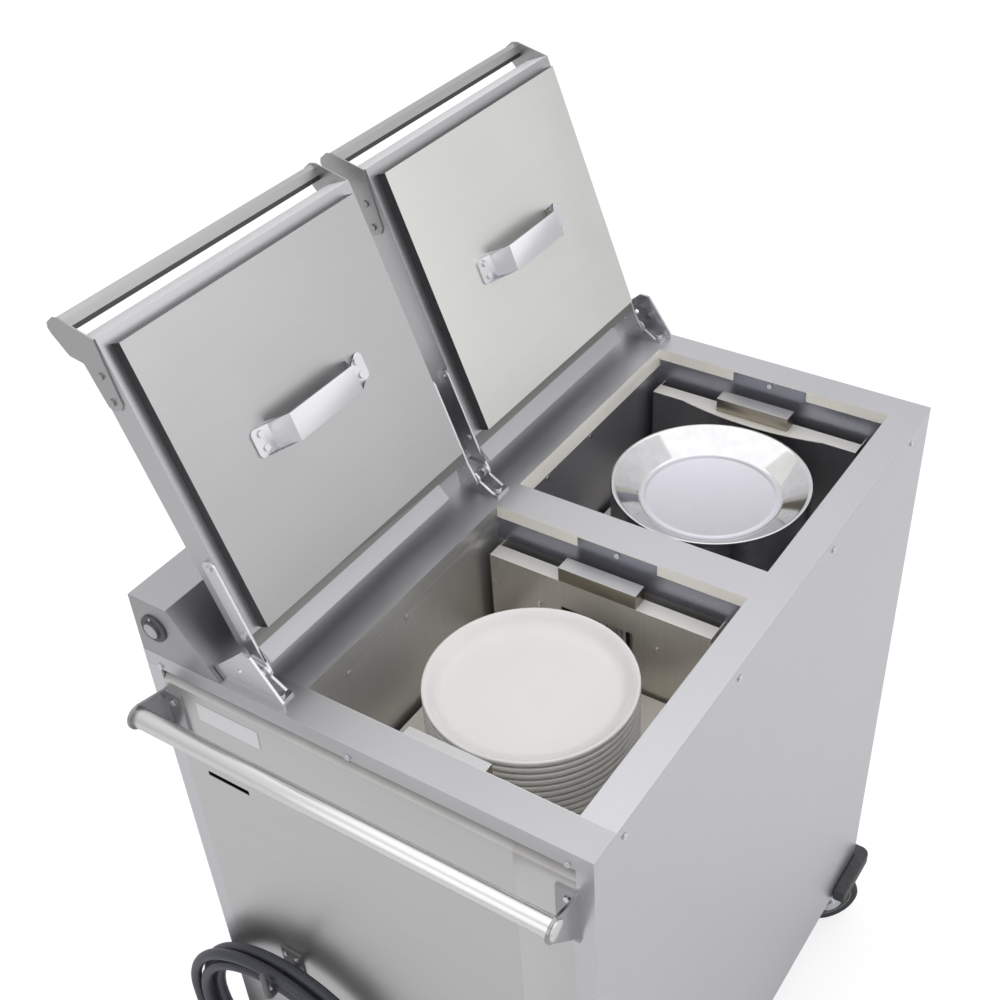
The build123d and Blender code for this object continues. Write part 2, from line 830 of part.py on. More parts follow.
def lid_shell(bay):
    """Hollow lid with a frame round its underside and a sloped lip along its rear edge."""
    x0, x1 = lid_left[bay], lid_right[bay]
    t = thin_sheet
    rear, front = pan_rear_y + lid_rear, pan_rear_y - pan_depth - lid_front
    shell = box(x0, x1, front, rear, frame_z, lid_top_z)
    shell -= box(x0 + t, x1 - t, front + t, rear - t, frame_z + t, lid_top_z - t)
    inset = pan_flange_width
    half = pan_length / 2 - inset
    centre = bay_centre_x[bay]
    shell -= box(centre - half, centre + half, pan_rear_y - pan_depth + inset, pan_rear_y - inset,
                 frame_z - 1, frame_z + t)
    lip = [(rear - t, frame_z), (rear + lip_reach, frame_z - lip_drop),
           (rear + lip_reach + 0.4, frame_z - lip_drop + t), (rear, frame_z + t)]
    shell += prism_x(lip, x0, x1 - lip_short)
    for x, side in ((x0, (-1, 0, 0)), (x1, (1, 0, 0))):
        spots = [(x, *place) for place in [lid_point(*p) for p in arm_screw_places] + cheek_screws()]
        shell = screw_holes(shell, spots, side, small_screw)
    return open_lid(shell)


def lid_pan(bay):
    """Stepped pan that plugs the opening under the lid."""
    t = thin_sheet
    centre = bay_centre_x[bay]
    x0, x1 = centre - pan_length / 2, centre + pan_length / 2
    y0, y1 = pan_rear_y - pan_depth, pan_rear_y
    pan = box(x0, x1, y0, y1, pan_face_z, frame_z)
    pan -= box(x0 + t, x1 - t, y0 + t, y1 - t, pan_face_z + t, frame_z - t)
    inset = pan_flange_width
    pan -= box(x0 + inset, x1 - inset, y0 + inset, y1 - inset, frame_z - 2 * t, frame_z + 1)
    pan = screw_holes(pan, strap_screws(bay), (0, 0, -1), small_screw)
    return open_lid(pan)


def lid_arms(bay):
    """Flat hinge arm on each side of a lid, with its screws."""
    low, high = arm_line - arm_width / 2, arm_line + arm_width / 2
    outline = [(pivot_s, pivot_n - arm_width / 2), (arm_bend, low), (arm_reach, low), (arm_reach, high),
               (arm_bend, high), (pivot_s, pivot_n + arm_width / 2)]
    made = []
    for face, away in ((lid_left[bay], -1), (lid_right[bay], 1)):
        x0, x1 = sorted((face, face + away * arm_sheet))
        arm = prism_x([lid_point(*p) for p in outline], x0, x1)
        for place in ((pivot_s, pivot_n), (arm_reach, arm_line)):
            centre = lid_point(*place)
            arm += round_bar((x0, *centre), (x1, *centre), arm_width / 2)
        arm -= round_bar((x0 - 1, pivot_y, pivot_z), (x1 + 1, pivot_y, pivot_z),
                         pin_radius + axle_clearance)
        outer = face + away * arm_sheet
        spots = [(outer, *lid_point(*p)) for p in arm_screw_places]
        made.append(screw_holes(arm, spots, (away, 0, 0), small_screw))
        made += screws(spots, (away, 0, 0), small_screw)
    return [open_lid(piece) for piece in made]


def grip_bar(bay):
    """Folded grip bar across the front of a lid, between two cheeks screwed to its sides."""
    x0, x1 = lid_left[bay] - grip_sheet, lid_right[bay] + grip_sheet
    outline = [lid_point(pan_depth + s, n) for s, n in grip_profile]
    face = Plane.YZ.offset(x0) * Polygon(*outline, align=None)
    inside = offset(face, amount=-grip_sheet, kind=Kind.INTERSECTION)
    bar = extrude(face - inside, amount=x1 - x0, dir=(1, 0, 0))
    cheek = [lid_point(pan_depth + s, n) for s, n in cheek_profile]
    made = []
    for x, away in ((x0, -1), (x1 - grip_sheet, 1)):
        outer = x if away < 0 else x1
        spots = [(outer, *place) for place in cheek_screws()]
        plate = screw_holes(prism_x(cheek, x, x + grip_sheet), spots, (away, 0, 0), small_screw)
        bar += plate
        made += screws(spots, (away, 0, 0), small_screw)
    return [open_lid(piece) for piece in [bar] + made]


def strap_screws(bay, lift=0):
    """Places of the strap handle's screws on the closed pan's underside."""
    centre = bay_centre_x[bay]
    y = pan_rear_y - strap_place
    return [(centre + side * strap_spacing / 2, y + d, pan_face_z - lift) for side in (-1, 1)
            for d in (-strap_width / 4, strap_width / 4)]


def strap_handle(bay):
    """Bent strap handle under the pan, with two screws in each foot."""
    centre = bay_centre_x[bay]
    t = strap_sheet
    foot_out = strap_spacing / 2 + strap_foot / 2
    foot_in = strap_spacing / 2 - strap_foot / 2
    bridge = strap_bridge / 2
    top = pan_face_z
    low = top - strap_rise
    half = [(foot_out, top), (foot_out, top - t), (foot_in - t, top - t), (bridge - t / 2, low)]
    inner = [(bridge - t, low + t), (foot_in - t / 2, top)]
    outline = [(centre + x, z) for x, z in half] + [(centre - x, z) for x, z in reversed(half)]
    outline += [(centre - x, z) for x, z in reversed(inner)] + [(centre + x, z) for x, z in inner]
    y = pan_rear_y - strap_place
    strap = prism_y(outline, y - strap_width / 2, y + strap_width / 2)
    strap = fillet(strap.edges().filter_by(Axis.Z), strap_corner)
    spots = strap_screws(bay, strap_sheet)
    strap = screw_holes(strap, spots, (0, 0, -1), small_screw)
    return [open_lid(piece) for piece in [strap] + screws(spots, (0, 0, -1), small_screw)]


# ---------------------------------------------------------------- carriages and plates
def carriage(bay):
    """Plate platform with an arm on each side that slides on the guide rods."""
    centre = bay_centre_x[bay]
    half = platform_half
    front, rear = front_rim + platform_end_gap, bay_rear_y - platform_end_gap
    under = platform_z - platform_sheet
    t = platform_sheet
    tray = box(centre - half, centre + half, front, rear, under - platform_flange, platform_z)
    tray -= box(centre - half + t, centre + half - t, front + t, rear - t,
                under - platform_flange - 1, under)
    reach = rod_offset + bush_radius
    bar_low = under - arm_bar_sheet
    tray += box(centre - reach, centre + reach, guide_centre_y - arm_bar_width / 2,
                guide_centre_y + arm_bar_width / 2, bar_low, under)
    for x in rod_places(bay):
        bush_low = under - bush_height / 2
        tray += round_bar((x, guide_centre_y, bush_low), (x, guide_centre_y, bush_low + bush_height),
                          bush_radius)
    for x in rod_places(bay):
        tray -= round_bar((x, guide_centre_y, bush_low - 5), (x, guide_centre_y, under + bush_height),
                          rod_radius + rod_clearance)
    return tray


def china_plates():
    """Stack of rimmed china plates; each foot ring stands in the plate below."""
    foot, rim, pitch = china_foot_radius, china_radius, china_pitch
    top = china_rim_height
    profile = [(0, 4), (foot - 8, 4), (foot - 7, 0), (foot - 1, 0), (foot + 2, 4),
               (china_flat_radius, china_flat_rise), (rim - 3, top - 8), (rim - 0.5, top - 6.5),
               (rim, top - 5), (rim, top - 1.5), (rim - 1, top), (rim - 3, top - 0.5), china_shoulder,
               (china_flat_radius, pitch), (0, pitch)]
    x, y = bay_centre_x[0] + china_offset[0], bay_centre_y + china_offset[1]
    made = []
    for k in range(china_count):
        made.append(turned(profile, x, y, platform_z + k * pitch))
    return made


def steel_plates():
    """Stack of pressed steel plates; each turned-down rim stands on the rim below."""
    flat, rim, pitch, t = steel_flat_radius, steel_radius, steel_pitch, steel_sheet
    top = steel_rim_height
    profile = [(0, 0), (flat, 0), (rim - 5, top - 2.2), (rim - 3, top - t), (rim - t, top - t),
               (rim - t, top - pitch), (rim, top - pitch), (rim, top), (rim - 3.4, top),
               (rim - 6, top - 1.4), (flat - 0.6, t), (0, t)]
    x, y = bay_centre_x[1] + steel_offset[0], bay_centre_y + steel_offset[1]
    made = []
    for k in range(steel_count):
        made.append(turned(profile, x, y, platform_z + k * pitch))
    return made


# ---------------------------------------------------------------- handle, bumpers, casters
def push_handle_tube():
    """Round push handle across the end, with closed ends."""
    x, y0, y1 = -handle_reach, handle_end, cart_width - handle_end
    tube = round_bar((x, y0, handle_z), (x, y1, handle_z), handle_radius)
    return tube - round_bar((x, y0 + handle_cap, handle_z), (x, y1 - handle_cap, handle_z),
                            handle_radius - handle_wall)


def push_handle_brackets():
    """Folded bracket at each end of the push handle."""
    x, z = -handle_reach, handle_z
    top = z + bracket_top_rise
    outline = [(0, top), (x + bracket_nose_back, z + bracket_nose_rise),
               (x - bracket_chin_out, z - bracket_nose_rise), (0, z - bracket_foot_drop)]
    y0, y1 = bracket_y, bracket_y + bracket_sheet
    plate = prism_y(outline, y0, y1)
    plate += round_bar((x, y0, z), (x, y1, z), handle_radius + bracket_eye)
    plate += box(-bracket_sheet, 0, y0, y1 + bracket_flange, z - bracket_flange_drop, top)
    plate -= round_bar((x, y0 - 1, z), (x, y1 + 1, z), handle_radius + handle_clearance)
    front_half = [p for p in handle_screws if p[1] < cart_width / 2]
    plate = screw_holes(plate, front_half, label_side, small_screw)
    return [plate, mirror_y(plate, cart_width / 2)]


def corner_bumpers():
    """Rubber bumper wrapped round each lower corner."""
    p, arm = bumper_proud, bumper_arm - bumper_proud
    outline = [(-p, -p), (arm, -p), (arm, 0), (0, 0), (0, arm), (-p, arm)]
    bumper = prism_z(outline, bumper_bottom, bumper_bottom + bumper_height)
    corner = bumper.edges().filter_by(Axis.Z).sort_by_distance((-p, -p, bumper_bottom))[0]
    bumper = fillet(corner, bumper_radius)
    pair = [bumper, mirror_y(bumper, cart_width / 2)]
    return pair + [mirror_x(b, cart_length / 2) for b in pair]


def caster_plates():
    """Top plate of each caster with its raceway, kingpin and kingpin head."""
    made = []
    for x, y in casters:
        plate = box(x - plate_length / 2, x + plate_length / 2, y - plate_width / 2, y + plate_width / 2,
                    pan_underside - plate_sheet, pan_underside)
        plate = screw_holes(plate, caster_bolts(x, y), (0, 0, -1), caster_bolt)
        plate += round_bar((x, y, raceway_bottom), (x, y, pan_underside - plate_sheet), raceway_radius)
        plate += round_bar((x, y, crown_height - gap), (x, y, raceway_bottom), kingpin_radius)
        low = crown_height - gap - kingpin_head
        plate += round_bar((x, y, low), (x, y, crown_height - gap), kingpin_radius + kingpin_head_proud)
        made.append(plate)
    return made


def place_caster(shape, k):
    """A caster piece, drawn with its trail along +x, set at its swivel and turned."""
    x, y = casters[k]
    return Pos(x, y, 0) * Rot(0, 0, caster_angle) * shape


def caster_fork(k):
    """Fork with its crown on the kingpin, and the axle bolt through its legs."""
    inner = fork_half - fork_sheet
    crown = round_bar((0, 0, crown_height), (0, 0, crown_height + crown_sheet), crown_radius)
    top = crown_height + crown_sheet
    crown += box(-crown_back, crown_front, -fork_half, fork_half, crown_height, top)
    axle = caster_trail
    leg_outline = [(-crown_back, top), (crown_front, top),
                   (pedal_pivot_u + leg_front, pedal_pivot_z + leg_front_rise),
                   (axle + leg_boss_radius, wheel_radius), (axle - leg_boss_radius, wheel_radius),
                   (-leg_back, crown_height - leg_back_drop)]
    legs = prism_y(leg_outline, inner, fork_half)
    legs += round_bar((axle, inner, wheel_radius), (axle, fork_half, wheel_radius), leg_boss_radius)
    legs -= round_bar((axle, inner - 1, wheel_radius), (axle, fork_half + 1, wheel_radius),
                      axle_radius + axle_clearance)
    if k < pedal_count:
        u, z = pedal_pivot_u, pedal_pivot_z
        legs -= round_bar((u, inner - 1, z), (u, fork_half + 1, z), pedal_pin_radius + axle_clearance)
    fork = crown + legs + mirror_y(legs, 0)
    fork -= round_bar((0, 0, crown_height - 1), (0, 0, top + 1), kingpin_radius + axle_clearance)
    z, far = wheel_radius, fork_half
    bolt = round_bar((axle, -far, z), (axle, far + axle_tail, z), axle_radius)
    bolt += round_bar((axle, -far - axle_head, z), (axle, -far, z), axle_head_radius)
    bolt += round_bar((axle, far, z), (axle, far + axle_nut, z), axle_nut_radius)
    return [place_caster(fork, k), place_caster(bolt, k)]


def wheel_ring(profile, k):
    """A profile of (radius, width) points turned about the wheel's axle."""
    face = Plane.XY * Polygon(*profile, align=None)
    ring = revolve(face, Axis.Y, 360)
    return place_caster(Pos(caster_trail, 0, wheel_radius) * ring, k)


def tyre(k):
    """Rubber tyre with rounded shoulders."""
    half, r = wheel_width / 2, wheel_radius
    profile = [(tyre_bore, -half + 2), (r - 5, -half), (r - 1.5, -half + 3), (r, -half + 8),
               (r, half - 8), (r - 1.5, half - 3), (r - 5, half), (tyre_bore, half - 2)]
    return wheel_ring(profile, k)


def hub(k):
    """Wheel centre: rim, web and boss with the axle's bore."""
    half, boss = wheel_width / 2, hub_width / 2
    bore = axle_radius + axle_clearance
    profile = [(bore, -boss), (hub_boss_radius, -boss), (hub_boss_radius + 1, -5), (tyre_bore - 4, -5),
               (tyre_bore - 3, -half + 2), (tyre_bore, -half + 2), (tyre_bore, half - 2),
               (tyre_bore - 3, half - 2), (tyre_bore - 4, 5), (hub_boss_radius + 1, 5),
               (hub_boss_radius, boss), (bore, boss)]
    return wheel_ring(profile, k)


def brake_pedal(k):
    """Foot pedal with an ear on each side of the fork."""
    inside = fork_half + gap
    outside = inside + pedal_sheet
    top = pedal_plate_z + pedal_sheet
    u, z, r = pedal_pivot_u, pedal_pivot_z, pedal_ear
    outline = [(u - r, z + r), (u - r, z - r), (u + pedal_ear_front, z - r),
               (pedal_start_u, pedal_plate_z - pedal_ear_front), (pedal_end_u, pedal_plate_z),
               (pedal_end_u, top), (pedal_start_u, top)]
    ear = prism_y(outline, inside, outside)
    ear += round_bar((pedal_pivot_u, fork_half - fork_sheet + gap, pedal_pivot_z),
                     (pedal_pivot_u, inside, pedal_pivot_z), pedal_pin_radius)
    pedal = box(pedal_start_u, pedal_end_u, -outside, outside, pedal_plate_z, top)
    return place_caster(pedal + ear + mirror_y(ear, 0), k)


# ---------------------------------------------------------------- cord
def cord_gland():
    """Right-angle cord grip on the handle end, with its nut inside the panel."""
    x, y = coil_near_x, coil_front_y
    body = round_bar((0, y, gland_z), (x, y, gland_z), gland_radius)
    body += Pos(x, y, gland_z) * Sphere(gland_radius)
    body += round_bar((x, y, gland_z), (x, y, gland_z + gland_rise), gland_radius)
    body += round_bar((x, y, gland_z + gland_rise), (x, y, gland_z + gland_rise + gland_nut_height),
                      gland_nut_radius)
    body += round_bar((-gland_collar, y, gland_z), (0, y, gland_z), gland_radius + gland_collar_proud)
    body += round_bar((-1, y, gland_z), (sheet, y, gland_z), gland_stub_radius)
    return body + round_bar((sheet, y, gland_z), (sheet + gland_back_nut, y, gland_z),
                            gland_radius + gland_back_nut_proud)


def cord_hook():
    """Bent rod hook on a small plate, which holds the coiled cord."""
    y = coil_centre_y
    tip_z = hook_z + hook_tip_rise
    points = [(-hook_plate, y, hook_z), (hook_tip_x, y, hook_z), (hook_tip_x, y, tip_z)]
    rod = tube_along(points, [hook_bend], hook_radius)[0]
    rod += Pos(hook_tip_x, y, tip_z) * Sphere(hook_radius)
    plate = box(-hook_plate, 0, y - hook_plate_half, y + hook_plate_half, hook_z - hook_plate_drop,
                hook_z + hook_plate_rise)
    plate = screw_holes(plate, hook_screws, label_side, small_screw)
    return rod + plate


def cord_lead():
    """The cord's free stretch, from the gland up to the coil."""
    x, y = coil_near_x, coil_front_y
    start = gland_z + gland_rise + gland_nut_height
    end = coil_centre_z - cord_end_run
    swing_x, swing_y = lead_swing
    points = [(x, y, start), (x, y, start + lead_straight),
              (x - swing_x, y - swing_y, start + lead_swing_rise), (x, y, end - lead_top_run), (x, y, end)]
    radii = []
    for before, at, after in zip(points, points[1:], points[2:]):
        run_in = Vector(*at) - Vector(*before)
        run_out = Vector(*after) - Vector(*at)
        turn = run_in.get_angle(run_out)
        shorter = min(run_in.length, run_out.length)
        radii.append(0.45 * shorter / math.tan(math.radians(turn / 2)))
    solid, path = tube_along(points, radii, cord_radius)
    print("cord lead radii", [round(r, 1) for r in radii], "of cord diameter", 2 * cord_radius)
    print("cord lead volume over section x length",
          round(solid.volume / (math.pi * cord_radius ** 2 * path.length), 4))
    return solid


def coil_path():
    """Half turns that spiral in on one layer, cross to the next and spiral out again."""
    radii = [coil_radius - k * coil_step for k in range(coil_half_turns_in + 1)]
    radii = radii + radii[::-1]
    layers = [coil_near_x] * (coil_half_turns_in + 1) + [coil_far_x] * (coil_half_turns_in + 1)
    stops = []
    for k, (radius, x) in enumerate(zip(radii, layers)):
        side = -1 if k % 2 == 0 else 1
        stops.append(Vector(x, coil_centre_y + side * radius, coil_centre_z))
    edges = [Line(stops[0] - Vector(0, 0, cord_end_run), stops[0])]
    for k, (start, end) in enumerate(zip(stops, stops[1:])):
        rise = Vector(0, 0, 1 if k % 2 == 0 else -1)
        middle = (start + end) * 0.5 + rise * ((end - start).length / 2)
        edges.append(ThreePointArc(start, middle, end))
    edges.append(Line(stops[-1], stops[-1] - Vector(0, 0, plug_drop)))
    return edges


def cord_coil():
    """The rest of the cord in a hanging coil, one unbroken tube down to the plug."""
    edges = coil_path()
    path = Wire([e.edge() for e in edges])
    start = Plane(origin=path @ 0, z_dir=path % 0)
    solid = sweep(start * Circle(cord_radius), path=path)
    spots = []
    for edge in edges:
        count = max(2, round(edge.length / 4))
        spots += [edge @ (i / count) for i in range(count)]
    least = math.inf
    apart = round(8 * cord_radius / 4)
    for i, a in enumerate(spots):
        for b in spots[i + apart:]:
            least = min(least, (a - b).length)
    print("coil least gap to itself", round(least - 2 * cord_radius, 2))
    print("coil volume over section x length",
          round(solid.volume / (math.pi * cord_radius ** 2 * path.length), 4), "length", round(path.length))
    return solid


def plug():
    """Moulded round plug with three pins, hanging from the coil's end."""
    x = coil_far_x
    y = coil_centre_y + coil_radius
    top = coil_centre_z - plug_drop
    r, neck = plug_body_radius, plug_neck_radius
    profile = [(0, 0), (neck - plug_round, 0), (neck, -plug_neck),
               (r - plug_round, plug_edge * 2 - plug_shoulder), (r, -plug_shoulder),
               (r, plug_edge - plug_length), (r - plug_round, -plug_length), (0, -plug_length)]
    made = [turned(profile, x, y, top)]
    half = plug_pin_spacing / 2
    low = top - plug_length
    for dx, dy in ((-half, 0), (half, 0), (0, half * plug_earth_reach)):
        at = (x + dx, y + dy)
        made.append(round_bar((*at, low), (*at, low - plug_pin_length), plug_pin_radius))
    return made


def fasteners():
    """Screws of the panels, wells, brackets and handle, and the caster bolts."""
    made = screws(deck_end_screws, (-1, 0, 0), small_screw)
    made += screws(far_end_screws, (1, 0, 0), small_screw)
    made += screws(deck_front_screws, (0, -1, 0), small_screw)
    made += screws(deck_rear_screws, (0, 1, 0), small_screw)
    made += screws(handle_screws, (-1, 0, 0), small_screw)
    made += screws(hook_screws, (-1, 0, 0), small_screw)
    made += screws(bracket_feet, (0, 0, 1), foot_screw)
    for bay in (0, 1):
        made += screws(rear_wall_screws(bay), (0, -1, 0), small_screw)
        for side in (-1, 1):
            made += screws(notch_screws(bay, side), (-side, 0, 0), small_screw)
            made += screws(guide_screws(bay, side), (-side, 0, 0), small_screw)
    for x, y in casters:
        made += screws(caster_bolts(x, y), (0, 0, -1), caster_bolt)
    return made


# ---------------------------------------------------------------- assembly
def build():
    """All pieces by node name, before they are moved to the origin."""
    nodes = {
        "chassis_base": chassis_base(), "front_panel": front_panel(), "rear_panel": rear_panel(),
        "end_corner_strip": end_corner_strip(), "end_access_panel": end_access_panel(),
        "far_end_panel": far_end_panel(), "top_deck": top_deck(), "guide_rods": guide_rods(),
        "rod_brackets": rod_brackets(), "heater_elements": heater_elements(),
        "control_housing": control_housing(), "thermostat_body": thermostat_body(),
        "thermostat_knob": thermostat_knob(), "label_plate": label_plate(),
        "hinge_brackets": hinge_brackets(), "hinge_pins": hinge_pins(), "fasteners": fasteners(),
        "push_handle_tube": push_handle_tube(), "push_handle_brackets": push_handle_brackets(),
        "corner_bumpers": corner_bumpers(), "caster_plates": caster_plates(),
        "cord_gland": cord_gland(), "cord_hook": cord_hook(), "cord_lead": cord_lead(),
        "cord_coil": cord_coil(), "plug": plug(), "china_plates": china_plates(),
        "steel_plates": steel_plates(),
    }
    for bay in (0, 1):
        n = bay + 1
        nodes[f"well_liner_{n}"] = well_liner(bay)
        nodes[f"guide_panels_{n}"] = guide_panels(bay)
        nodes[f"lift_springs_{n}"] = lift_springs(bay)
        nodes[f"carriage_{n}"] = carriage(bay)
        nodes[f"lid_shell_{n}"] = lid_shell(bay)
        nodes[f"lid_pan_{n}"] = lid_pan(bay)
        nodes[f"lid_arms_{n}"] = lid_arms(bay)
        nodes[f"grip_bar_{n}"] = grip_bar(bay)
        nodes[f"strap_handle_{n}"] = strap_handle(bay)
    for k in range(len(casters)):
        nodes[f"caster_fork_{k + 1}"] = caster_fork(k)
        nodes[f"tyre_{k + 1}"] = tyre(k)
        nodes[f"hub_{k + 1}"] = hub(k)
    for k in range(pedal_count):
        nodes[f"brake_pedal_{k + 1}"] = brake_pedal(k)
    return nodes


def as_shape(pieces):
    """One shape to save: the piece itself, or a group of separate solids."""
    if isinstance(pieces, list):
        return Compound(children=pieces)
    return pieces


cord_pieces = ["cord_lead", "cord_coil", "plug"]


def footprint_middle(nodes):
    """Middle of the footprint of everything but the cord, in x and y."""
    boxes = [shape.bounding_box() for name, shape in nodes.items() if name not in cord_pieces]
    middle_x = (min(b.min.X for b in boxes) + max(b.max.X for b in boxes)) / 2
    middle_y = (min(b.min.Y for b in boxes) + max(b.max.Y for b in boxes)) / 2
    return middle_x, middle_y


def main():
    nodes = {name: as_shape(pieces) for name, pieces in build().items()}
    middle_x, middle_y = footprint_middle(nodes)
    print("origin at x", round(middle_x, 3), "y", round(middle_y, 3))
    os.makedirs("parts", exist_ok=True)
    for name, shape in nodes.items():
        export_step(Pos(-middle_x, -middle_y, 0) * shape, f"parts/{name}.step")


main()
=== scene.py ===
import json
import math

import bmesh
import bpy
from mathutils import Matrix, Vector


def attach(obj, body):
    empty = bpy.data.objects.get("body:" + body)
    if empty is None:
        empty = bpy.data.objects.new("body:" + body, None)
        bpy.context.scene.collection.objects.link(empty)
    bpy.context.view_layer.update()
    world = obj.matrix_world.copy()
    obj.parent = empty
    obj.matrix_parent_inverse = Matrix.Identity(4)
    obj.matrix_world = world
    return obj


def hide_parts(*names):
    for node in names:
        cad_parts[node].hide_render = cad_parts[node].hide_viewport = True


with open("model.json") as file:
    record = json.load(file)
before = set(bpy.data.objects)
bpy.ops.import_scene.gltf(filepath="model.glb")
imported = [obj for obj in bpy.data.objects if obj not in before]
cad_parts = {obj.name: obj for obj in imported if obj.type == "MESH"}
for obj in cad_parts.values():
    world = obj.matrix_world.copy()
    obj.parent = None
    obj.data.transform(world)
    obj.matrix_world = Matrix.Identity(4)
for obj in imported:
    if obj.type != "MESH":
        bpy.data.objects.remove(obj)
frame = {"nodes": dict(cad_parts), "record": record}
nodes = frame["nodes"]
home = {node: body for body, members in frame["record"]["behaviour"]["bodies"].items() for node in members}
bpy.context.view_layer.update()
scene = bpy.context.scene
scene.view_settings.view_transform = "Standard"

# ------------------------------------------------------------------ camera and studio
# The camera stands in front of the cart's handle end and looks down on it, where the
# picture was taken. The floor is a plain white sheet, under soft overhead light.
camera_place = (-1.02674, -0.66272, 1.95437)
camera_right = Vector((0.54228367, -0.83904974, -0.04386293))
camera_up = Vector((0.56206517, 0.32347265, 0.76121494))
camera_forward = Vector((0.62450873, 0.43744826, -0.64701458))
camera_data = bpy.data.cameras.new("studio_camera")
camera_data.sensor_width = 36
camera_data.lens = 50.62
camera_data.shift_x = -0.0226
camera_data.shift_y = 0.0705
camera = bpy.data.objects.new("studio_camera", camera_data)
scene.collection.objects.link(camera)
camera.matrix_world = Matrix.Translation(camera_place) @ Matrix(
    (camera_right, camera_up, -camera_forward)).transposed().to_4x4()
scene.camera = camera


def new_material(name):
    """An empty node material with its output, and the two lists to build in."""
    material = bpy.data.materials.new(name)
    material.use_nodes = True
    tree = material.node_tree
    tree.nodes.clear()
    output = tree.nodes.new("ShaderNodeOutputMaterial")
    return material, tree.nodes, tree.links, output


floor_paper, paper_nodes, paper_links, paper_output = new_material("white_floor_paper")
paper_light = paper_nodes.new("ShaderNodeLightPath")
paper_seen = paper_nodes.new("ShaderNodeAddShader")
paper_glow = paper_nodes.new("ShaderNodeEmission")
paper_glow.inputs["Strength"].default_value = 0.74
paper_shade = paper_nodes.new("ShaderNodeBsdfDiffuse")
paper_shade.inputs["Color"].default_value = (0.34, 0.34, 0.34, 1)
paper_lit = paper_nodes.new("ShaderNodeBsdfDiffuse")
paper_lit.inputs["Color"].default_value = (0.78, 0.78, 0.78, 1)
paper_mix = paper_nodes.new("ShaderNodeMixShader")
paper_links.new(paper_glow.outputs[0], paper_seen.inputs[0])
paper_links.new(paper_shade.outputs[0], paper_seen.inputs[1])
paper_links.new(paper_light.outputs["Is Camera Ray"], paper_mix.inputs[0])
paper_links.new(paper_lit.outputs[0], paper_mix.inputs[1])
paper_links.new(paper_seen.outputs[0], paper_mix.inputs[2])
paper_links.new(paper_mix.outputs[0], paper_output.inputs["Surface"])

floor_half = 30
floor_shape = bmesh.new()
bmesh.ops.create_grid(floor_shape, x_segments=2, y_segments=2, size=floor_half)
floor_mesh = bpy.data.meshes.new("studio_floor")
floor_shape.to_mesh(floor_mesh)
floor_shape.free()
studio_floor = bpy.data.objects.new("studio_floor", floor_mesh)
studio_floor.data.materials.append(floor_paper)
scene.collection.objects.link(studio_floor)

studio_air = bpy.data.worlds.new("studio_air")
studio_air.use_nodes = True
scene.world = studio_air
air_nodes, air_links = studio_air.node_tree.nodes, studio_air.node_tree.links
air_nodes.clear()
air_direction = air_nodes.new("ShaderNodeTexCoord")
air_split = air_nodes.new("ShaderNodeSeparateXYZ")
air_ramp = air_nodes.new("ShaderNodeValToRGB")
air_ramp.color_ramp.elements[0].position = 0.0
air_ramp.color_ramp.elements[0].color = (0.52, 0.52, 0.53, 1)
air_ramp.color_ramp.elements[1].position = 0.75
air_ramp.color_ramp.elements[1].color = (0.88, 0.88, 0.90, 1)
air_room = air_nodes.new("ShaderNodeBackground")
air_white = air_nodes.new("ShaderNodeBackground")
air_white.inputs["Color"].default_value = (1, 1, 1, 1)
air_light = air_nodes.new("ShaderNodeLightPath")
air_mix = air_nodes.new("ShaderNodeMixShader")
air_output = air_nodes.new("ShaderNodeOutputWorld")
air_links.new(air_direction.outputs["Generated"], air_split.inputs[0])
air_links.new(air_split.outputs["Z"], air_ramp.inputs[0])
air_links.new(air_ramp.outputs["Color"], air_room.inputs["Color"])
air_links.new(air_light.outputs["Is Camera Ray"], air_mix.inputs[0])
air_links.new(air_room.outputs[0], air_mix.inputs[1])
air_links.new(air_white.outputs[0], air_mix.inputs[2])
air_links.new(air_mix.outputs[0], air_output.inputs["Surface"])


def softbox(name, place, target, size, power):
    """A square soft lamp that faces a point."""
    lamp = bpy.data.lights.new(name, "AREA")
    lamp.shape = "SQUARE"
    lamp.size = size
    lamp.energy = power
    box = bpy.data.objects.new(name, lamp)
    scene.collection.objects.link(box)
    box.location = place
    box.rotation_euler = (Vector(target) - Vector(place)).to_track_quat("-Z", "Y").to_euler()


softbox("overhead_softbox", (0.3, 0.2, 3.8), (0, 0, 0.9), 3.6, 20)
softbox("front_softbox", (1.4, -3.2, 2.2), (0, 0, 0.7), 3.2, 22)
softbox("end_softbox", (-3.2, 0.6, 2.0), (0, 0, 0.7), 2.4, 12)

# ------------------------------------------------------------------ mains cord
# A black rubber-sheathed mains lead, 14 mm thick. It rises from its grip low on the
# handle end and hangs in loose turns on a hook, in two layers.
width_middle, length_middle = 268.452, 382.5


def at(x, y, z):
    """A place on the cart: millimetres from its handle end, front panel and the floor."""
    return Vector(((x - length_middle) / 1000, (y - width_middle) / 1000, z / 1000))


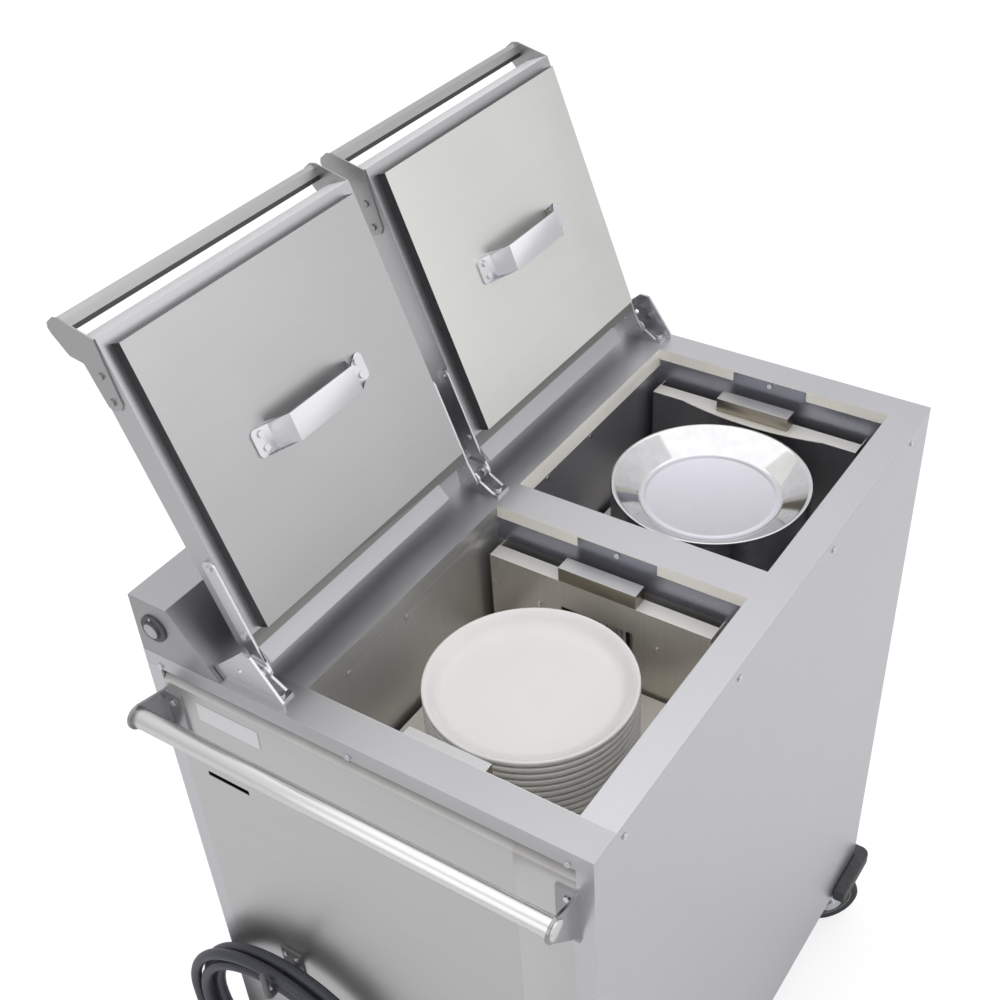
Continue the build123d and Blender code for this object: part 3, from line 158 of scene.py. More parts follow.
cord_layers = (-19, -35)
coil_middle_y, coil_middle_z = 425, 375
coil_radii = (158, 149.4, 140.8, 132.2, 132.2, 140.8, 149.4, 158)
turn_points = 6
cord_route = [at(-19, 267, 227), at(-19, 267, 260), at(-22, 260, 300), at(-19, 267, 340)]
for half in range(len(coil_radii) - 1):
    side = -1 if half % 2 == 0 else 1
    start_y = coil_middle_y + side * coil_radii[half]
    end_y = coil_middle_y - side * coil_radii[half + 1]
    start_x = cord_layers[0] if half < 4 else cord_layers[1]
    end_x = cord_layers[0] if half < 3 else cord_layers[1]
    reach = (end_y - start_y) / 2
    for step in range(turn_points):
        angle = math.pi * (step + 0.5) / turn_points
        outside = 1 / math.cos(math.pi / turn_points / 2)
        cord_route.append(at((start_x + end_x) / 2 - (end_x - start_x) / 2 * math.cos(angle),
                             (start_y + end_y) / 2 - reach * outside * math.cos(angle),
                             coil_middle_z - side * abs(reach) * outside * math.sin(angle)))
cord_route += [at(-35, 583, 335), at(-35, 583, 291)]

cord_curve = bpy.data.curves.new("mains_cord", "CURVE")
cord_curve.dimensions = "3D"
cord_line = cord_curve.splines.new("NURBS")
cord_line.points.add(len(cord_route) - 1)
for point, place in zip(cord_line.points, cord_route):
    point.co = (*place, 1)
cord_line.order_u = 3
cord_line.use_endpoint_u = True
cord_line.resolution_u = 8
cord_curve.bevel_depth = 0.007
cord_curve.bevel_resolution = 5
mains_cord = bpy.data.objects.new("mains_cord", cord_curve)
scene.collection.objects.link(mains_cord)


def fine_noise(tree_nodes, tree_links, scale, detail, stretch=(1, 1, 1)):
    """Noise on the piece's own coordinates, in cells per metre."""
    coordinates = tree_nodes.new("ShaderNodeTexCoord")
    mapping = tree_nodes.new("ShaderNodeMapping")
    mapping.inputs["Scale"].default_value = stretch
    noise = tree_nodes.new("ShaderNodeTexNoise")
    noise.inputs["Scale"].default_value = scale
    noise.inputs["Detail"].default_value = detail
    tree_links.new(coordinates.outputs["Object"], mapping.inputs["Vector"])
    tree_links.new(mapping.outputs["Vector"], noise.inputs["Vector"])
    return noise


def mottled(name, low, high, rough_low, rough_high, scale, bump, metallic=0.0, coat=0.0, spun=0.0):
    """A finish whose colour, gloss and surface vary a little from place to place.

    A spun surface carries fine rings about its own upright axis, which draw its highlights out."""
    material, its_nodes, its_links, output = new_material(name)
    noise = fine_noise(its_nodes, its_links, scale, 5)
    colour = its_nodes.new("ShaderNodeValToRGB")
    colour.color_ramp.elements[0].position = 0.3
    colour.color_ramp.elements[0].color = (*low, 1)
    colour.color_ramp.elements[1].position = 0.7
    colour.color_ramp.elements[1].color = (*high, 1)
    gloss = its_nodes.new("ShaderNodeMapRange")
    gloss.inputs["To Min"].default_value = rough_low
    gloss.inputs["To Max"].default_value = rough_high
    relief = its_nodes.new("ShaderNodeBump")
    relief.inputs["Strength"].default_value = bump
    relief.inputs["Distance"].default_value = 0.0004
    shader = its_nodes.new("ShaderNodeBsdfPrincipled")
    shader.inputs["Metallic"].default_value = metallic
    shader.inputs["Coat Weight"].default_value = coat
    if spun:
        rings = its_nodes.new("ShaderNodeTangent")
        rings.direction_type = "RADIAL"
        rings.axis = "Z"
        shader.inputs["Anisotropic"].default_value = spun
        its_links.new(rings.outputs[0], shader.inputs["Tangent"])
    its_links.new(noise.outputs["Fac"], colour.inputs[0])
    its_links.new(noise.outputs["Fac"], gloss.inputs["Value"])
    its_links.new(noise.outputs["Fac"], relief.inputs["Height"])
    its_links.new(colour.outputs["Color"], shader.inputs["Base Color"])
    its_links.new(gloss.outputs["Result"], shader.inputs["Roughness"])
    its_links.new(relief.outputs["Normal"], shader.inputs["Normal"])
    its_links.new(shader.outputs[0], output.inputs["Surface"])
    return material


cord_rubber = mottled("cord_rubber", (0.028, 0.030, 0.042), (0.045, 0.047, 0.062), 0.34, 0.5, 420, 0.25)
mains_cord.data.materials.append(cord_rubber)
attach(mains_cord, "cart")
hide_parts("cord_lead", "cord_coil")

# ------------------------------------------------------------------ plug
# A moulded round plug hangs from the end of the lead, with three brass pins and raised
# grip ribs round its body. Its flange is turned with the body in one shot.


def link_piece(name, shape, material, smooth_angle=40):
    """A new object from a bmesh, with smooth faces and edges kept sharp past an angle."""
    mesh = bpy.data.meshes.new(name)
    shape.to_mesh(mesh)
    shape.free()
    for face in mesh.polygons:
        face.use_smooth = True
    mesh.set_sharp_from_angle(angle=math.radians(smooth_angle))
    mesh.materials.append(material)
    piece = bpy.data.objects.new(name, mesh)
    scene.collection.objects.link(piece)
    return piece


def turned(profile, steps=64):
    """A closed shape turned about the z axis from (radius, height) points in millimetres."""
    shape = bmesh.new()
    ring = [shape.verts.new((radius / 1000, 0, height / 1000)) for radius, height in profile]
    line = [shape.edges.new(pair) for pair in zip(ring, ring[1:])]
    bmesh.ops.spin(shape, geom=ring + line, cent=(0, 0, 0), axis=(0, 0, 1), angle=2 * math.pi,
                   steps=steps, use_merge=True)
    bmesh.ops.remove_doubles(shape, verts=shape.verts, dist=1e-6)
    bmesh.ops.recalc_face_normals(shape, faces=shape.faces)
    return shape


def put(shape, place):
    """Moves a bmesh so that its origin is at a place."""
    bmesh.ops.translate(shape, verts=shape.verts, vec=place)
    return shape


def joined(shapes):
    """One bmesh from several."""
    whole = bmesh.new()
    for shape in shapes:
        mesh = bpy.data.meshes.new("part_of_piece")
        shape.to_mesh(mesh)
        shape.free()
        whole.from_mesh(mesh)
        bpy.data.meshes.remove(mesh)
    return whole


plug_top = at(-35, 583, 291)
plug_profile = [(0, 0), (9, 0), (10, -2), (11.4, -12), (12, -16), (16.5, -23), (18.6, -27), (19, -30)]
for rib in range(5):
    plug_profile += [(19, -32 - rib * 4), (18, -33 - rib * 4), (18, -34.5 - rib * 4), (19, -35.5 - rib * 4)]
plug_profile += [(19, -58), (18, -60.4), (16.5, -61), (0, -61)]
plug_body = link_piece("plug_body", put(turned(plug_profile), plug_top), cord_rubber)
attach(plug_body, "cart")
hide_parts("plug")

pin_brass = mottled("pin_brass", (0.62, 0.46, 0.20), (0.74, 0.57, 0.28), 0.18, 0.3, 300, 0.05, metallic=1.0)
pin_profile = [(0, 1), (2.4, 1), (2.4, -17.4), (1.8, -18.7), (0.9, -19), (0, -19)]
plug_pins = []
for dx, dy in ((-9.5, 0), (9.5, 0), (0, 8.55)):
    plug_pins.append(put(turned(pin_profile, 20), plug_top + Vector((dx, dy, -61)) / 1000))
plug_pin_set = link_piece("plug_pins", joined(plug_pins), pin_brass)
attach(plug_pin_set, "cart")

# ------------------------------------------------------------------ cord grip
# The right-angle grip is moulded nylon. A tapered rubber sleeve leaves its nut with the
# lead and keeps it from bending sharply there.
grip_nylon = mottled("grip_nylon", (0.020, 0.020, 0.022), (0.034, 0.034, 0.037), 0.3, 0.45, 260, 0.15)
sleeve_profile = [(7.05, -3), (11.0, -3), (11.2, 3)]
for ring_number in range(6):
    height = 5 + ring_number * 5
    outer = 10.6 - ring_number * 0.45
    sleeve_profile += [(outer, height), (outer, height + 2.4), (outer - 1.1, height + 3),
                       (outer - 1.1, height + 4.4)]
sleeve_profile += [(7.9, 36), (7.05, 36)]
cord_sleeve = link_piece("cord_sleeve", put(turned(sleeve_profile, 48), at(-19, 267, 227)), cord_rubber)
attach(cord_sleeve, "cart")


def finished(node, material, edge=0.5, segments=2, smooth_angle=35, cuts=()):
    """The CAD solid as a made piece: merged, its flat faces whole and its edges rounded (mm).

    Each cut, a place and a direction, divides the faces that cross it."""
    mesh = nodes[node].data.copy()
    mesh.name = f"{node}_finished"
    shape = bmesh.new()
    shape.from_mesh(mesh)
    bmesh.ops.remove_doubles(shape, verts=shape.verts, dist=2e-6)
    bmesh.ops.dissolve_limit(shape, angle_limit=math.radians(0.3), verts=shape.verts, edges=shape.edges)
    for place, direction in cuts:
        whole = shape.verts[:] + shape.edges[:] + shape.faces[:]
        bmesh.ops.bisect_plane(shape, geom=whole, dist=1e-6, plane_co=place, plane_no=direction)
    bmesh.ops.recalc_face_normals(shape, faces=shape.faces)
    shape.to_mesh(mesh)
    shape.free()
    for face in mesh.polygons:
        face.use_smooth = True
    mesh.set_sharp_from_angle(angle=math.radians(smooth_angle))
    mesh.materials.clear()
    mesh.materials.append(material)
    piece = bpy.data.objects.new(mesh.name, mesh)
    scene.collection.objects.link(piece)
    if edge:
        rounding = piece.modifiers.new("rounded_edges", "BEVEL")
        rounding.width = edge / 1000
        rounding.segments = segments
        rounding.limit_method = "ANGLE"
        rounding.angle_limit = math.radians(35)
        rounding.use_clamp_overlap = True
        rounding.harden_normals = True
    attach(piece, home[node])
    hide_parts(node)
    return piece


def repaint(piece, material, belongs):
    """Gives another finish to the faces whose middle, in cart millimetres, passes a test."""
    piece.data.materials.append(material)
    for face in piece.data.polygons:
        middle = face.center * 1000
        if belongs(middle.x + length_middle, middle.y + width_middle, middle.z):
            face.material_index = len(piece.data.materials) - 1


finished("cord_gland", grip_nylon, edge=0.6)

# ------------------------------------------------------------------ sheet steel finishes
# The cart is folded from brushed stainless sheet. The grain runs along each sheet, and
# handling has left faint cloudy patches in it.


def make_grain_group():
    """Brushed sheet: fine streaks along the grain, and broad soft clouds."""
    group = bpy.data.node_groups.new("brushed_sheet", "ShaderNodeTree")
    for name, kind in (("Place", "NodeSocketVector"), ("Grain", "NodeSocketVector"),
                       ("Light", "NodeSocketColor"), ("Dark", "NodeSocketColor"),
                       ("Rough Low", "NodeSocketFloat"), ("Rough High", "NodeSocketFloat"),
                       ("Clouds", "NodeSocketFloat")):
        group.interface.new_socket(name, in_out="INPUT", socket_type=kind)
    for name, kind in (("Color", "NodeSocketColor"), ("Roughness", "NodeSocketFloat"),
                       ("Height", "NodeSocketFloat")):
        group.interface.new_socket(name, in_out="OUTPUT", socket_type=kind)
    inside, wires = group.nodes, group.links
    given = inside.new("NodeGroupInput")
    result = inside.new("NodeGroupOutput")
    streaks = inside.new("ShaderNodeTexNoise")
    streaks.inputs["Scale"].default_value = 1
    streaks.inputs["Detail"].default_value = 4
    streaks.inputs["Roughness"].default_value = 0.65
    clouds = inside.new("ShaderNodeTexNoise")
    clouds.inputs["Scale"].default_value = 5.5
    clouds.inputs["Detail"].default_value = 3
    cloud_share = inside.new("ShaderNodeMath")
    cloud_share.operation = "MULTIPLY"
    blend = inside.new("ShaderNodeMath")
    blend.operation = "ADD"
    streak_share = inside.new("ShaderNodeMath")
    streak_share.operation = "MULTIPLY"
    streak_share.inputs[1].default_value = 0.55
    tint = inside.new("ShaderNodeMix")
    tint.data_type = "RGBA"
    gloss = inside.new("ShaderNodeMapRange")
    gloss.inputs["From Min"].default_value = 0.3
    gloss.inputs["From Max"].default_value = 0.7
    wires.new(given.outputs["Grain"], streaks.inputs["Vector"])
    wires.new(given.outputs["Place"], clouds.inputs["Vector"])
    wires.new(clouds.outputs["Fac"], cloud_share.inputs[0])
    wires.new(given.outputs["Clouds"], cloud_share.inputs[1])
    wires.new(streaks.outputs["Fac"], streak_share.inputs[0])
    wires.new(cloud_share.outputs[0], blend.inputs[0])
    wires.new(streak_share.outputs[0], blend.inputs[1])
    wires.new(blend.outputs[0], tint.inputs[0])
    wires.new(given.outputs["Dark"], tint.inputs[6])
    wires.new(given.outputs["Light"], tint.inputs[7])
    wires.new(clouds.outputs["Fac"], gloss.inputs["Value"])
    wires.new(given.outputs["Rough Low"], gloss.inputs["To Min"])
    wires.new(given.outputs["Rough High"], gloss.inputs["To Max"])
    wires.new(tint.outputs[2], result.inputs["Color"])
    wires.new(gloss.outputs["Result"], result.inputs["Roughness"])
    wires.new(streaks.outputs["Fac"], result.inputs["Height"])
    return group


grain_group = make_grain_group()
grain_along = 5
grain_across = 380


def brushed(name, light, dark, rough=(0.26, 0.34), grain="x", clouds=0.45, bump=0.025, metallic=1.0):
    """Stainless sheet with its grain along one axis."""
    material, its_nodes, its_links, output = new_material(name)
    coordinates = its_nodes.new("ShaderNodeTexCoord")
    mapping = its_nodes.new("ShaderNodeMapping")
    mapping.inputs["Scale"].default_value = [grain_along if axis == grain else grain_across for axis in "xyz"]
    sheet = its_nodes.new("ShaderNodeGroup")
    sheet.node_tree = grain_group
    sheet.inputs["Light"].default_value = (*light, 1)
    sheet.inputs["Dark"].default_value = (*dark, 1)
    sheet.inputs["Rough Low"].default_value = rough[0]
    sheet.inputs["Rough High"].default_value = rough[1]
    sheet.inputs["Clouds"].default_value = clouds
    relief = its_nodes.new("ShaderNodeBump")
    relief.inputs["Strength"].default_value = bump
    relief.inputs["Distance"].default_value = 0.0002
    shader = its_nodes.new("ShaderNodeBsdfPrincipled")
    shader.inputs["Metallic"].default_value = metallic
    its_links.new(coordinates.outputs["Object"], mapping.inputs["Vector"])
    its_links.new(coordinates.outputs["Object"], sheet.inputs["Place"])
    its_links.new(mapping.outputs["Vector"], sheet.inputs["Grain"])
    its_links.new(sheet.outputs["Color"], shader.inputs["Base Color"])
    its_links.new(sheet.outputs["Roughness"], shader.inputs["Roughness"])
    its_links.new(sheet.outputs["Height"], relief.inputs["Height"])
    its_links.new(relief.outputs["Normal"], shader.inputs["Normal"])
    its_links.new(shader.outputs[0], output.inputs["Surface"])
    return material


# ------------------------------------------------------------------ base pan and posts
# A 3 mm steel pan with an upturned edge carries everything. Four angle posts stand in
# its corners under the deck.
frame_steel = brushed("frame_steel", (0.62, 0.62, 0.63), (0.48, 0.48, 0.49), (0.38, 0.5))
finished("chassis_base", frame_steel)

# ------------------------------------------------------------------ casters
# Each caster has a pressed zinc-plated fork on a ball race, a grey rubber tyre on a
# nylon wheel, and an axle bolt. Two of them have a black brake pedal.
zinc_plate = mottled("zinc_plate", (0.60, 0.63, 0.67), (0.74, 0.77, 0.80), 0.24, 0.38, 60, 0.08, metallic=1.0)
tyre_rubber = mottled("tyre_rubber", (0.030, 0.031, 0.034), (0.060, 0.061, 0.065), 0.5, 0.68, 240, 0.5)
wheel_nylon = mottled("wheel_nylon", (0.14, 0.145, 0.155), (0.19, 0.195, 0.205), 0.34, 0.46, 130, 0.15)
pedal_enamel = mottled("pedal_enamel", (0.018, 0.018, 0.020), (0.032, 0.032, 0.035), 0.26, 0.4, 150, 0.2)
finished("caster_plates", zinc_plate, edge=0.6)
caster_spots = [(65, 48), (65, 488), (735, 48), (735, 488)]
caster_turn = math.radians(-45)
caster_trail = 35
tread_profile = [(38, -13), (44.2, -14.6), (46.8, -14.2), (48.7, -12.4), (49.6, -9), (50, -4), (50, 4),
                 (49.6, 9), (48.7, 12.4), (46.8, 14.2), (44.2, 14.6), (38, 13)]
wheel_profile = [(5.1, -17), (12.2, -17), (13, -16.2), (13.6, -8), (15, -5.6), (30, -5.2), (33, -6.4),
                 (34.6, -11), (35.6, -13), (38, -13), (38, 13), (35.6, 13), (34.6, 11), (33, 6.4),
                 (30, 5.2), (15, 5.6), (13.6, 8), (13, 16.2), (12.2, 17), (5.1, 17), (5.1, -17)]


def on_axle(shape, spot):
    """Lays a turned shape on the axle of the caster at a spot."""
    bmesh.ops.rotate(shape, verts=shape.verts, cent=(0, 0, 0), matrix=Matrix.Rotation(math.pi / 2, 3, "X"))
    bmesh.ops.rotate(shape, verts=shape.verts, cent=(0, 0, 0), matrix=Matrix.Rotation(caster_turn, 3, "Z"))
    away = Vector((math.cos(caster_turn), math.sin(caster_turn))) * caster_trail
    return put(shape, at(spot[0] + away.x, spot[1] + away.y, 50))


for number, spot in enumerate(caster_spots, 1):
    finished(f"caster_fork_{number}", zinc_plate, edge=0.7)
    tread = link_piece(f"tyre_tread_{number}", on_axle(turned(tread_profile + tread_profile[:1], 72), spot),
                       tyre_rubber)
    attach(tread, home[f"tyre_{number}"])
    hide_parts(f"tyre_{number}")
    wheel = link_piece(f"wheel_centre_{number}", on_axle(turned(wheel_profile, 72), spot), wheel_nylon)
    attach(wheel, home[f"hub_{number}"])
    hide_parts(f"hub_{number}")
for number in (1, 2):
    finished(f"brake_pedal_{number}", pedal_enamel, edge=0.8)

# ------------------------------------------------------------------ corner bumpers
# Black rubber extrusions are bent round the four lower corners, to spare walls and
# door frames.
bumper_rubber = mottled("bumper_rubber", (0.032, 0.033, 0.037), (0.060, 0.061, 0.066), 0.42, 0.6, 180, 0.4)
finished("corner_bumpers", bumper_rubber, edge=3.5, segments=4)

# ------------------------------------------------------------------ body panels
# The four sides are thin folded sheets, screwed to the posts and the deck's edge. The
# panel of the handle end lifts off and has a pressed vent slot.
front_steel = brushed("front_steel", (0.70, 0.70, 0.72), (0.62, 0.62, 0.64), (0.30, 0.40), "x", 0.4)
end_steel = brushed("end_steel", (0.68, 0.675, 0.67), (0.58, 0.575, 0.57), (0.32, 0.42), "y", 0.4)
# The recess under the deck's turned-down edge at each end carries painted shade: a flat grey, painted darker
# towards its top.
cove_painted_shade = mottled("cove_painted_shade", (0.62, 0.61, 0.59), (0.68, 0.67, 0.65), 0.45, 0.55, 40, 0.02, metallic=0.2)
cove_foot = 943.5


def paint_shade_upwards(material, low, high, share):
    """Paints shade into a finish, darker towards its upper edge, between two heights in metres."""
    its_nodes, its_links = material.node_tree.nodes, material.node_tree.links
    shader = its_nodes["Principled BSDF"]
    source = shader.inputs["Base Color"].links[0].from_socket
    place = its_nodes.new("ShaderNodeTexCoord")
    split = its_nodes.new("ShaderNodeSeparateXYZ")
    rise = its_nodes.new("ShaderNodeMapRange")
    rise.inputs["From Min"].default_value = low
    rise.inputs["From Max"].default_value = high
    rise.inputs["To Min"].default_value = 1
    rise.inputs["To Max"].default_value = share
    painted_shade_scale = its_nodes.new("ShaderNodeVectorMath")
    painted_shade_scale.operation = "SCALE"
    its_links.new(place.outputs["Object"], split.inputs[0])
    its_links.new(split.outputs["Z"], rise.inputs["Value"])
    its_links.new(source, painted_shade_scale.inputs[0])
    its_links.new(rise.outputs["Result"], painted_shade_scale.inputs["Scale"])
    its_links.new(painted_shade_scale.outputs[0], shader.inputs["Base Color"])


# Painted shade, darkest at the top of the recess.
paint_shade_upwards(cove_painted_shade, 0.943, 0.956, 0.16)
finished("front_panel", front_steel, edge=0.7)
finished("rear_panel", front_steel, edge=0.7)
# Each end panel's strip in the recess under the deck's edge is painted shade.
for panel in ("end_corner_strip", "end_access_panel", "far_end_panel"):
    repaint(finished(panel, end_steel, edge=0.6), cove_painted_shade, lambda x, y, z: z > cove_foot)

# ------------------------------------------------------------------ deck
# One heavier sheet with two square openings covers the top. Its outer edge is turned
# down over the panels, and the edges of the openings are turned down into the wells.
deck_steel = brushed("deck_steel", (0.66, 0.66, 0.68), (0.58, 0.58, 0.60), (0.34, 0.44), "x", 0.35)
end_rim_painted_shade = brushed("end_rim_painted_shade", (0.56, 0.56, 0.57), (0.49, 0.49, 0.50), (0.34, 0.44), "y", 0.35)
inner_edge_painted_reflection = brushed("inner_edge_painted_reflection", (1.0, 0.97, 0.89), (0.92, 0.89, 0.81), (0.4, 0.5), "y", 0.5,
                           metallic=0.05)
rear_edge_painted_shade = brushed("rear_edge_painted_shade", (0.46, 0.46, 0.45), (0.36, 0.36, 0.35), (0.3, 0.4), "x", 0.5,
                          metallic=0.5)
deck_face, turned_edge_top = 979, 977
end_rim_width = 39
openings_start, openings_end, openings_rear = 30, 770, 360
near_opening_end, rear_edge_front = 390, 349
# The deck's top along the handle end is cut off and painted darker than the rest of the deck, as painted
# shade.
deck = finished("top_deck", deck_steel, edge=0.7, cuts=[(at(end_rim_width, 0, deck_face), (1, 0, 0))])
repaint(deck, end_rim_painted_shade, lambda x, y, z: z > deck_face and x < end_rim_width)
# The openings' turned-down edges are painted near-white, as a painted reflection of the plates and the bright
# room.
repaint(deck, inner_edge_painted_reflection, lambda x, y, z: (
    z < turned_edge_top and openings_start < x < openings_end and openings_start < y < openings_rear))
# The near opening's rear edge is painted dark grey, as painted shade.
repaint(deck, rear_edge_painted_shade, lambda x, y, z: (
    z < turned_edge_top and openings_start < x < near_opening_end and rear_edge_front < y < openings_rear))

# ------------------------------------------------------------------ wells
# Each well is a four-sided liner of thin sheet; the far well's liner is painted darker than the near one's,
# as painted shade. The slotted guides at its sides are a warmer sheet with a bright ledge along the top;
# their webs below it are painted darker, as shade, and darkest in the far well.
# The far well's liner is painted darker than the near one's, as painted shade.
liner_steels = (brushed("near_liner_steel", (0.68, 0.68, 0.66), (0.48, 0.48, 0.47), (0.32, 0.44), "z", 0.6,
                        metallic=0.8),
                brushed("far_liner_painted_shade", (0.46, 0.46, 0.50), (0.32, 0.32, 0.35), (0.30, 0.42), "z", 0.6,
                        metallic=0.8))
web_painted_shades = (brushed("near_web_painted_shade", (0.76, 0.73, 0.67), (0.54, 0.52, 0.47), (0.26, 0.38), "z", 0.6,
                      metallic=0.7),
              brushed("far_web_painted_shade", (0.30, 0.30, 0.32), (0.20, 0.20, 0.22), (0.30, 0.42), "z", 0.6,
                      metallic=0.8))
upper_wall_painted_shadow = brushed("upper_wall_painted_shadow", (0.36, 0.37, 0.42), (0.27, 0.275, 0.32), (0.24, 0.34), "y",
                           0.6, metallic=0.7)
ledge_steel = brushed("ledge_steel", (0.92, 0.90, 0.86), (0.80, 0.78, 0.74), (0.36, 0.46), "y", 0.5,
                      metallic=0.35)
platform_steel = brushed("platform_steel", (1.0, 0.96, 0.88), (0.92, 0.88, 0.80), (0.45, 0.55), "x", 0.5,
                         metallic=0.05)
cap_steel = brushed("cap_steel", (0.66, 0.66, 0.66), (0.56, 0.56, 0.56), (0.36, 0.46), "y", 0.5)
cap_front_painted_shade = brushed("cap_front_painted_shade", (0.42, 0.38, 0.31), (0.26, 0.235, 0.19), (0.26, 0.36), "y", 0.5)
ledge_height = 934
rear_wall_front = 345
ledge_lip, cap_front_rise = 4, 16
ledge_cut = (at(0, 0, ledge_height), (0, 0, 1))
for number in (1, 2):
    liner = finished(f"well_liner_{number}", liner_steels[number - 1], cuts=[ledge_cut])
    # The liner's wall above the ledge is painted dark blue-grey, as the painted shadow under the deck's edge.
    repaint(liner, upper_wall_painted_shadow, lambda x, y, z: z > ledge_height and y < rear_wall_front)
    guides = finished(f"guide_panels_{number}", ledge_steel, edge=0.4)
    # Below the ledge the guides' webs are painted darker as shade, much darker in the far well.
    repaint(guides, web_painted_shades[number - 1], lambda x, y, z: z < ledge_height - ledge_lip)
caps = finished("rod_brackets", cap_steel, edge=0.5)
# The caps' fronts below the ledge top are painted a dark brown-grey, as painted shade under their lit tops.
repaint(caps, cap_front_painted_shade, lambda x, y, z: z < ledge_height + cap_front_rise)

# ------------------------------------------------------------------ plate lifts
# Polished rods guide a folded platform in each well. Springs hang it from the ledges,
# and a black tubular heater stands on the floor below.
rod_chrome = mottled("rod_chrome", (0.70, 0.70, 0.72), (0.82, 0.82, 0.84), 0.08, 0.18, 80, 0.03, metallic=1.0)
heater_sheath = mottled("heater_sheath", (0.10, 0.085, 0.075), (0.20, 0.17, 0.15), 0.4, 0.6, 90, 0.3,
                        metallic=0.8)
finished("guide_rods", rod_chrome, edge=0.3)
finished("heater_elements", heater_sheath, edge=0)
for number in (1, 2):
    finished(f"carriage_{number}", platform_steel, edge=0.5)

# ------------------------------------------------------------------ springs
# Extension springs, four to each well, hang between the ledge above and the platform's
# arms below. Each is a plain steel sleeve with a stem at its ends, not wound wire.
spring_wire = brushed("spring_wire", (0.60, 0.60, 0.61), (0.46, 0.46, 0.47), (0.24, 0.36), "z", 0.4)
for number in (1, 2):
    nodes[f"lift_springs_{number}"].data.materials.clear()
    nodes[f"lift_springs_{number}"].data.materials.append(spring_wire)

# ------------------------------------------------------------------ china plates
# Eleven white hotel plates stand in the near well. Each is a pressed disc with a rolled
# rim and an unglazed foot ring, under a clear glaze.
china_glaze = mottled("china_glaze", (0.80, 0.785, 0.765), (0.815, 0.80, 0.78), 0.16, 0.2, 25, 0.0, coat=0.25)
china_profile = [(0, 4), (60, 4), (64, 3.6), (65, 0.4), (66, 0), (70.5, 0), (71.5, 0.5), (73.5, 3.6),
                 (90, 5.6), (100, 10.2), (107, 13.4), (111, 15.2), (113.3, 16.7), (114, 18.4), (114, 21.3),
                 (113.4, 22.7), (112, 23), (110.4, 22.3), (106, 18.6), (102, 15), (98, 12), (93, 9.9),
                 (88, 9.1), (60, 9), (0, 9)]
china_middle = (203, 197.1)
china_count, china_pitch = 11, 9
platform_height = 815
for count in range(china_count):
    plate = turned(china_profile, 96)
    china = link_piece(f"china_plate_{count + 1}",
                       put(plate, at(*china_middle, platform_height + count * china_pitch)),
                       china_glaze, 60)
    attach(china, home["china_plates"])
    if count == 0:
        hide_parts("china_plates")

# ------------------------------------------------------------------ steel plates
# Sixteen pressed steel plates stand in the far well. Their sloped sides are polished
# like a mirror, the flat middle is a little duller, and the rim is turned down.
plate_mirror = mottled("plate_mirror", (0.68, 0.68, 0.68), (0.76, 0.76, 0.77), 0.07, 0.09, 60, 0.01,
                       metallic=1.0, spun=0.5)
plate_flat = mottled("plate_flat", (0.72, 0.71, 0.76), (0.74, 0.73, 0.78), 0.34, 0.38, 60, 0.0, metallic=0.7)
steel_middle = (596.2, 190.6)
steel_profile = [(0, 0), (85, 0), (87, 0.5), (116, 21.4), (117.6, 22.6), (120, 22.6), (120, 17.8),
                 (121, 17.8), (121, 22.6), (120.4, 23.7), (119, 24), (117.6, 23.9), (115.6, 22.8),
                 (87.5, 2.6), (84.5, 1), (80, 1), (78.5, 1.5), (76.5, 1.5), (75, 1), (0, 1)]
steel_count, steel_pitch = 16, 6.2
flat_middle_radius = 0.0845
for count in range(steel_count):
    plate = turned(steel_profile, 96)
    pressed = link_piece(f"steel_plate_{count + 1}",
                         put(plate, at(*steel_middle, platform_height + count * steel_pitch)),
                         plate_mirror, 30)
    pressed.data.materials.append(plate_flat)
    middle = at(*steel_middle, 0)
    for face in pressed.data.polygons:
        if (face.center.xy - middle.xy).length < flat_middle_radius:
            face.material_index = 1
    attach(pressed, home["steel_plates"])
    if count == 0:
        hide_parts("steel_plates")

# ------------------------------------------------------------------ control housing
# A sloped sheet housing runs along the back. The thermostat sits behind its end cap,
# with a dark knob and a bare rating plate outside.
housing_steel = brushed("housing_steel", (0.50, 0.50, 0.51), (0.43, 0.43, 0.44), (0.30, 0.40), "x", 0.5)
slope_painted_shade = brushed("slope_painted_shade", (0.40, 0.40, 0.41), (0.33, 0.33, 0.34), (0.32, 0.42), "x", 0.5)
housing_end_painted_shade = brushed("housing_end_painted_shade", (0.44, 0.435, 0.44), (0.37, 0.365, 0.37), (0.30, 0.40), "y",
                            0.5)
knob_dark = mottled("knob_dark", (0.070, 0.070, 0.074), (0.105, 0.105, 0.110), 0.4, 0.55, 320, 0.3)
knob_cap = mottled("knob_cap", (0.46, 0.46, 0.47), (0.56, 0.56, 0.57), 0.26, 0.36, 90, 0.05, metallic=1.0)
thermostat_case = mottled("thermostat_case", (0.66, 0.63, 0.56), (0.74, 0.71, 0.64), 0.45, 0.6, 70, 0.15)
label_metal = brushed("label_metal", (0.84, 0.84, 0.85), (0.76, 0.76, 0.77), (0.34, 0.44), "y", 0.3)
housing_length, housing_end_depth = 800, 0.5
slope_margin, slope_rear, slope_foot = 10, 480, 985
housing = finished("control_housing", housing_steel, edge=0.8)
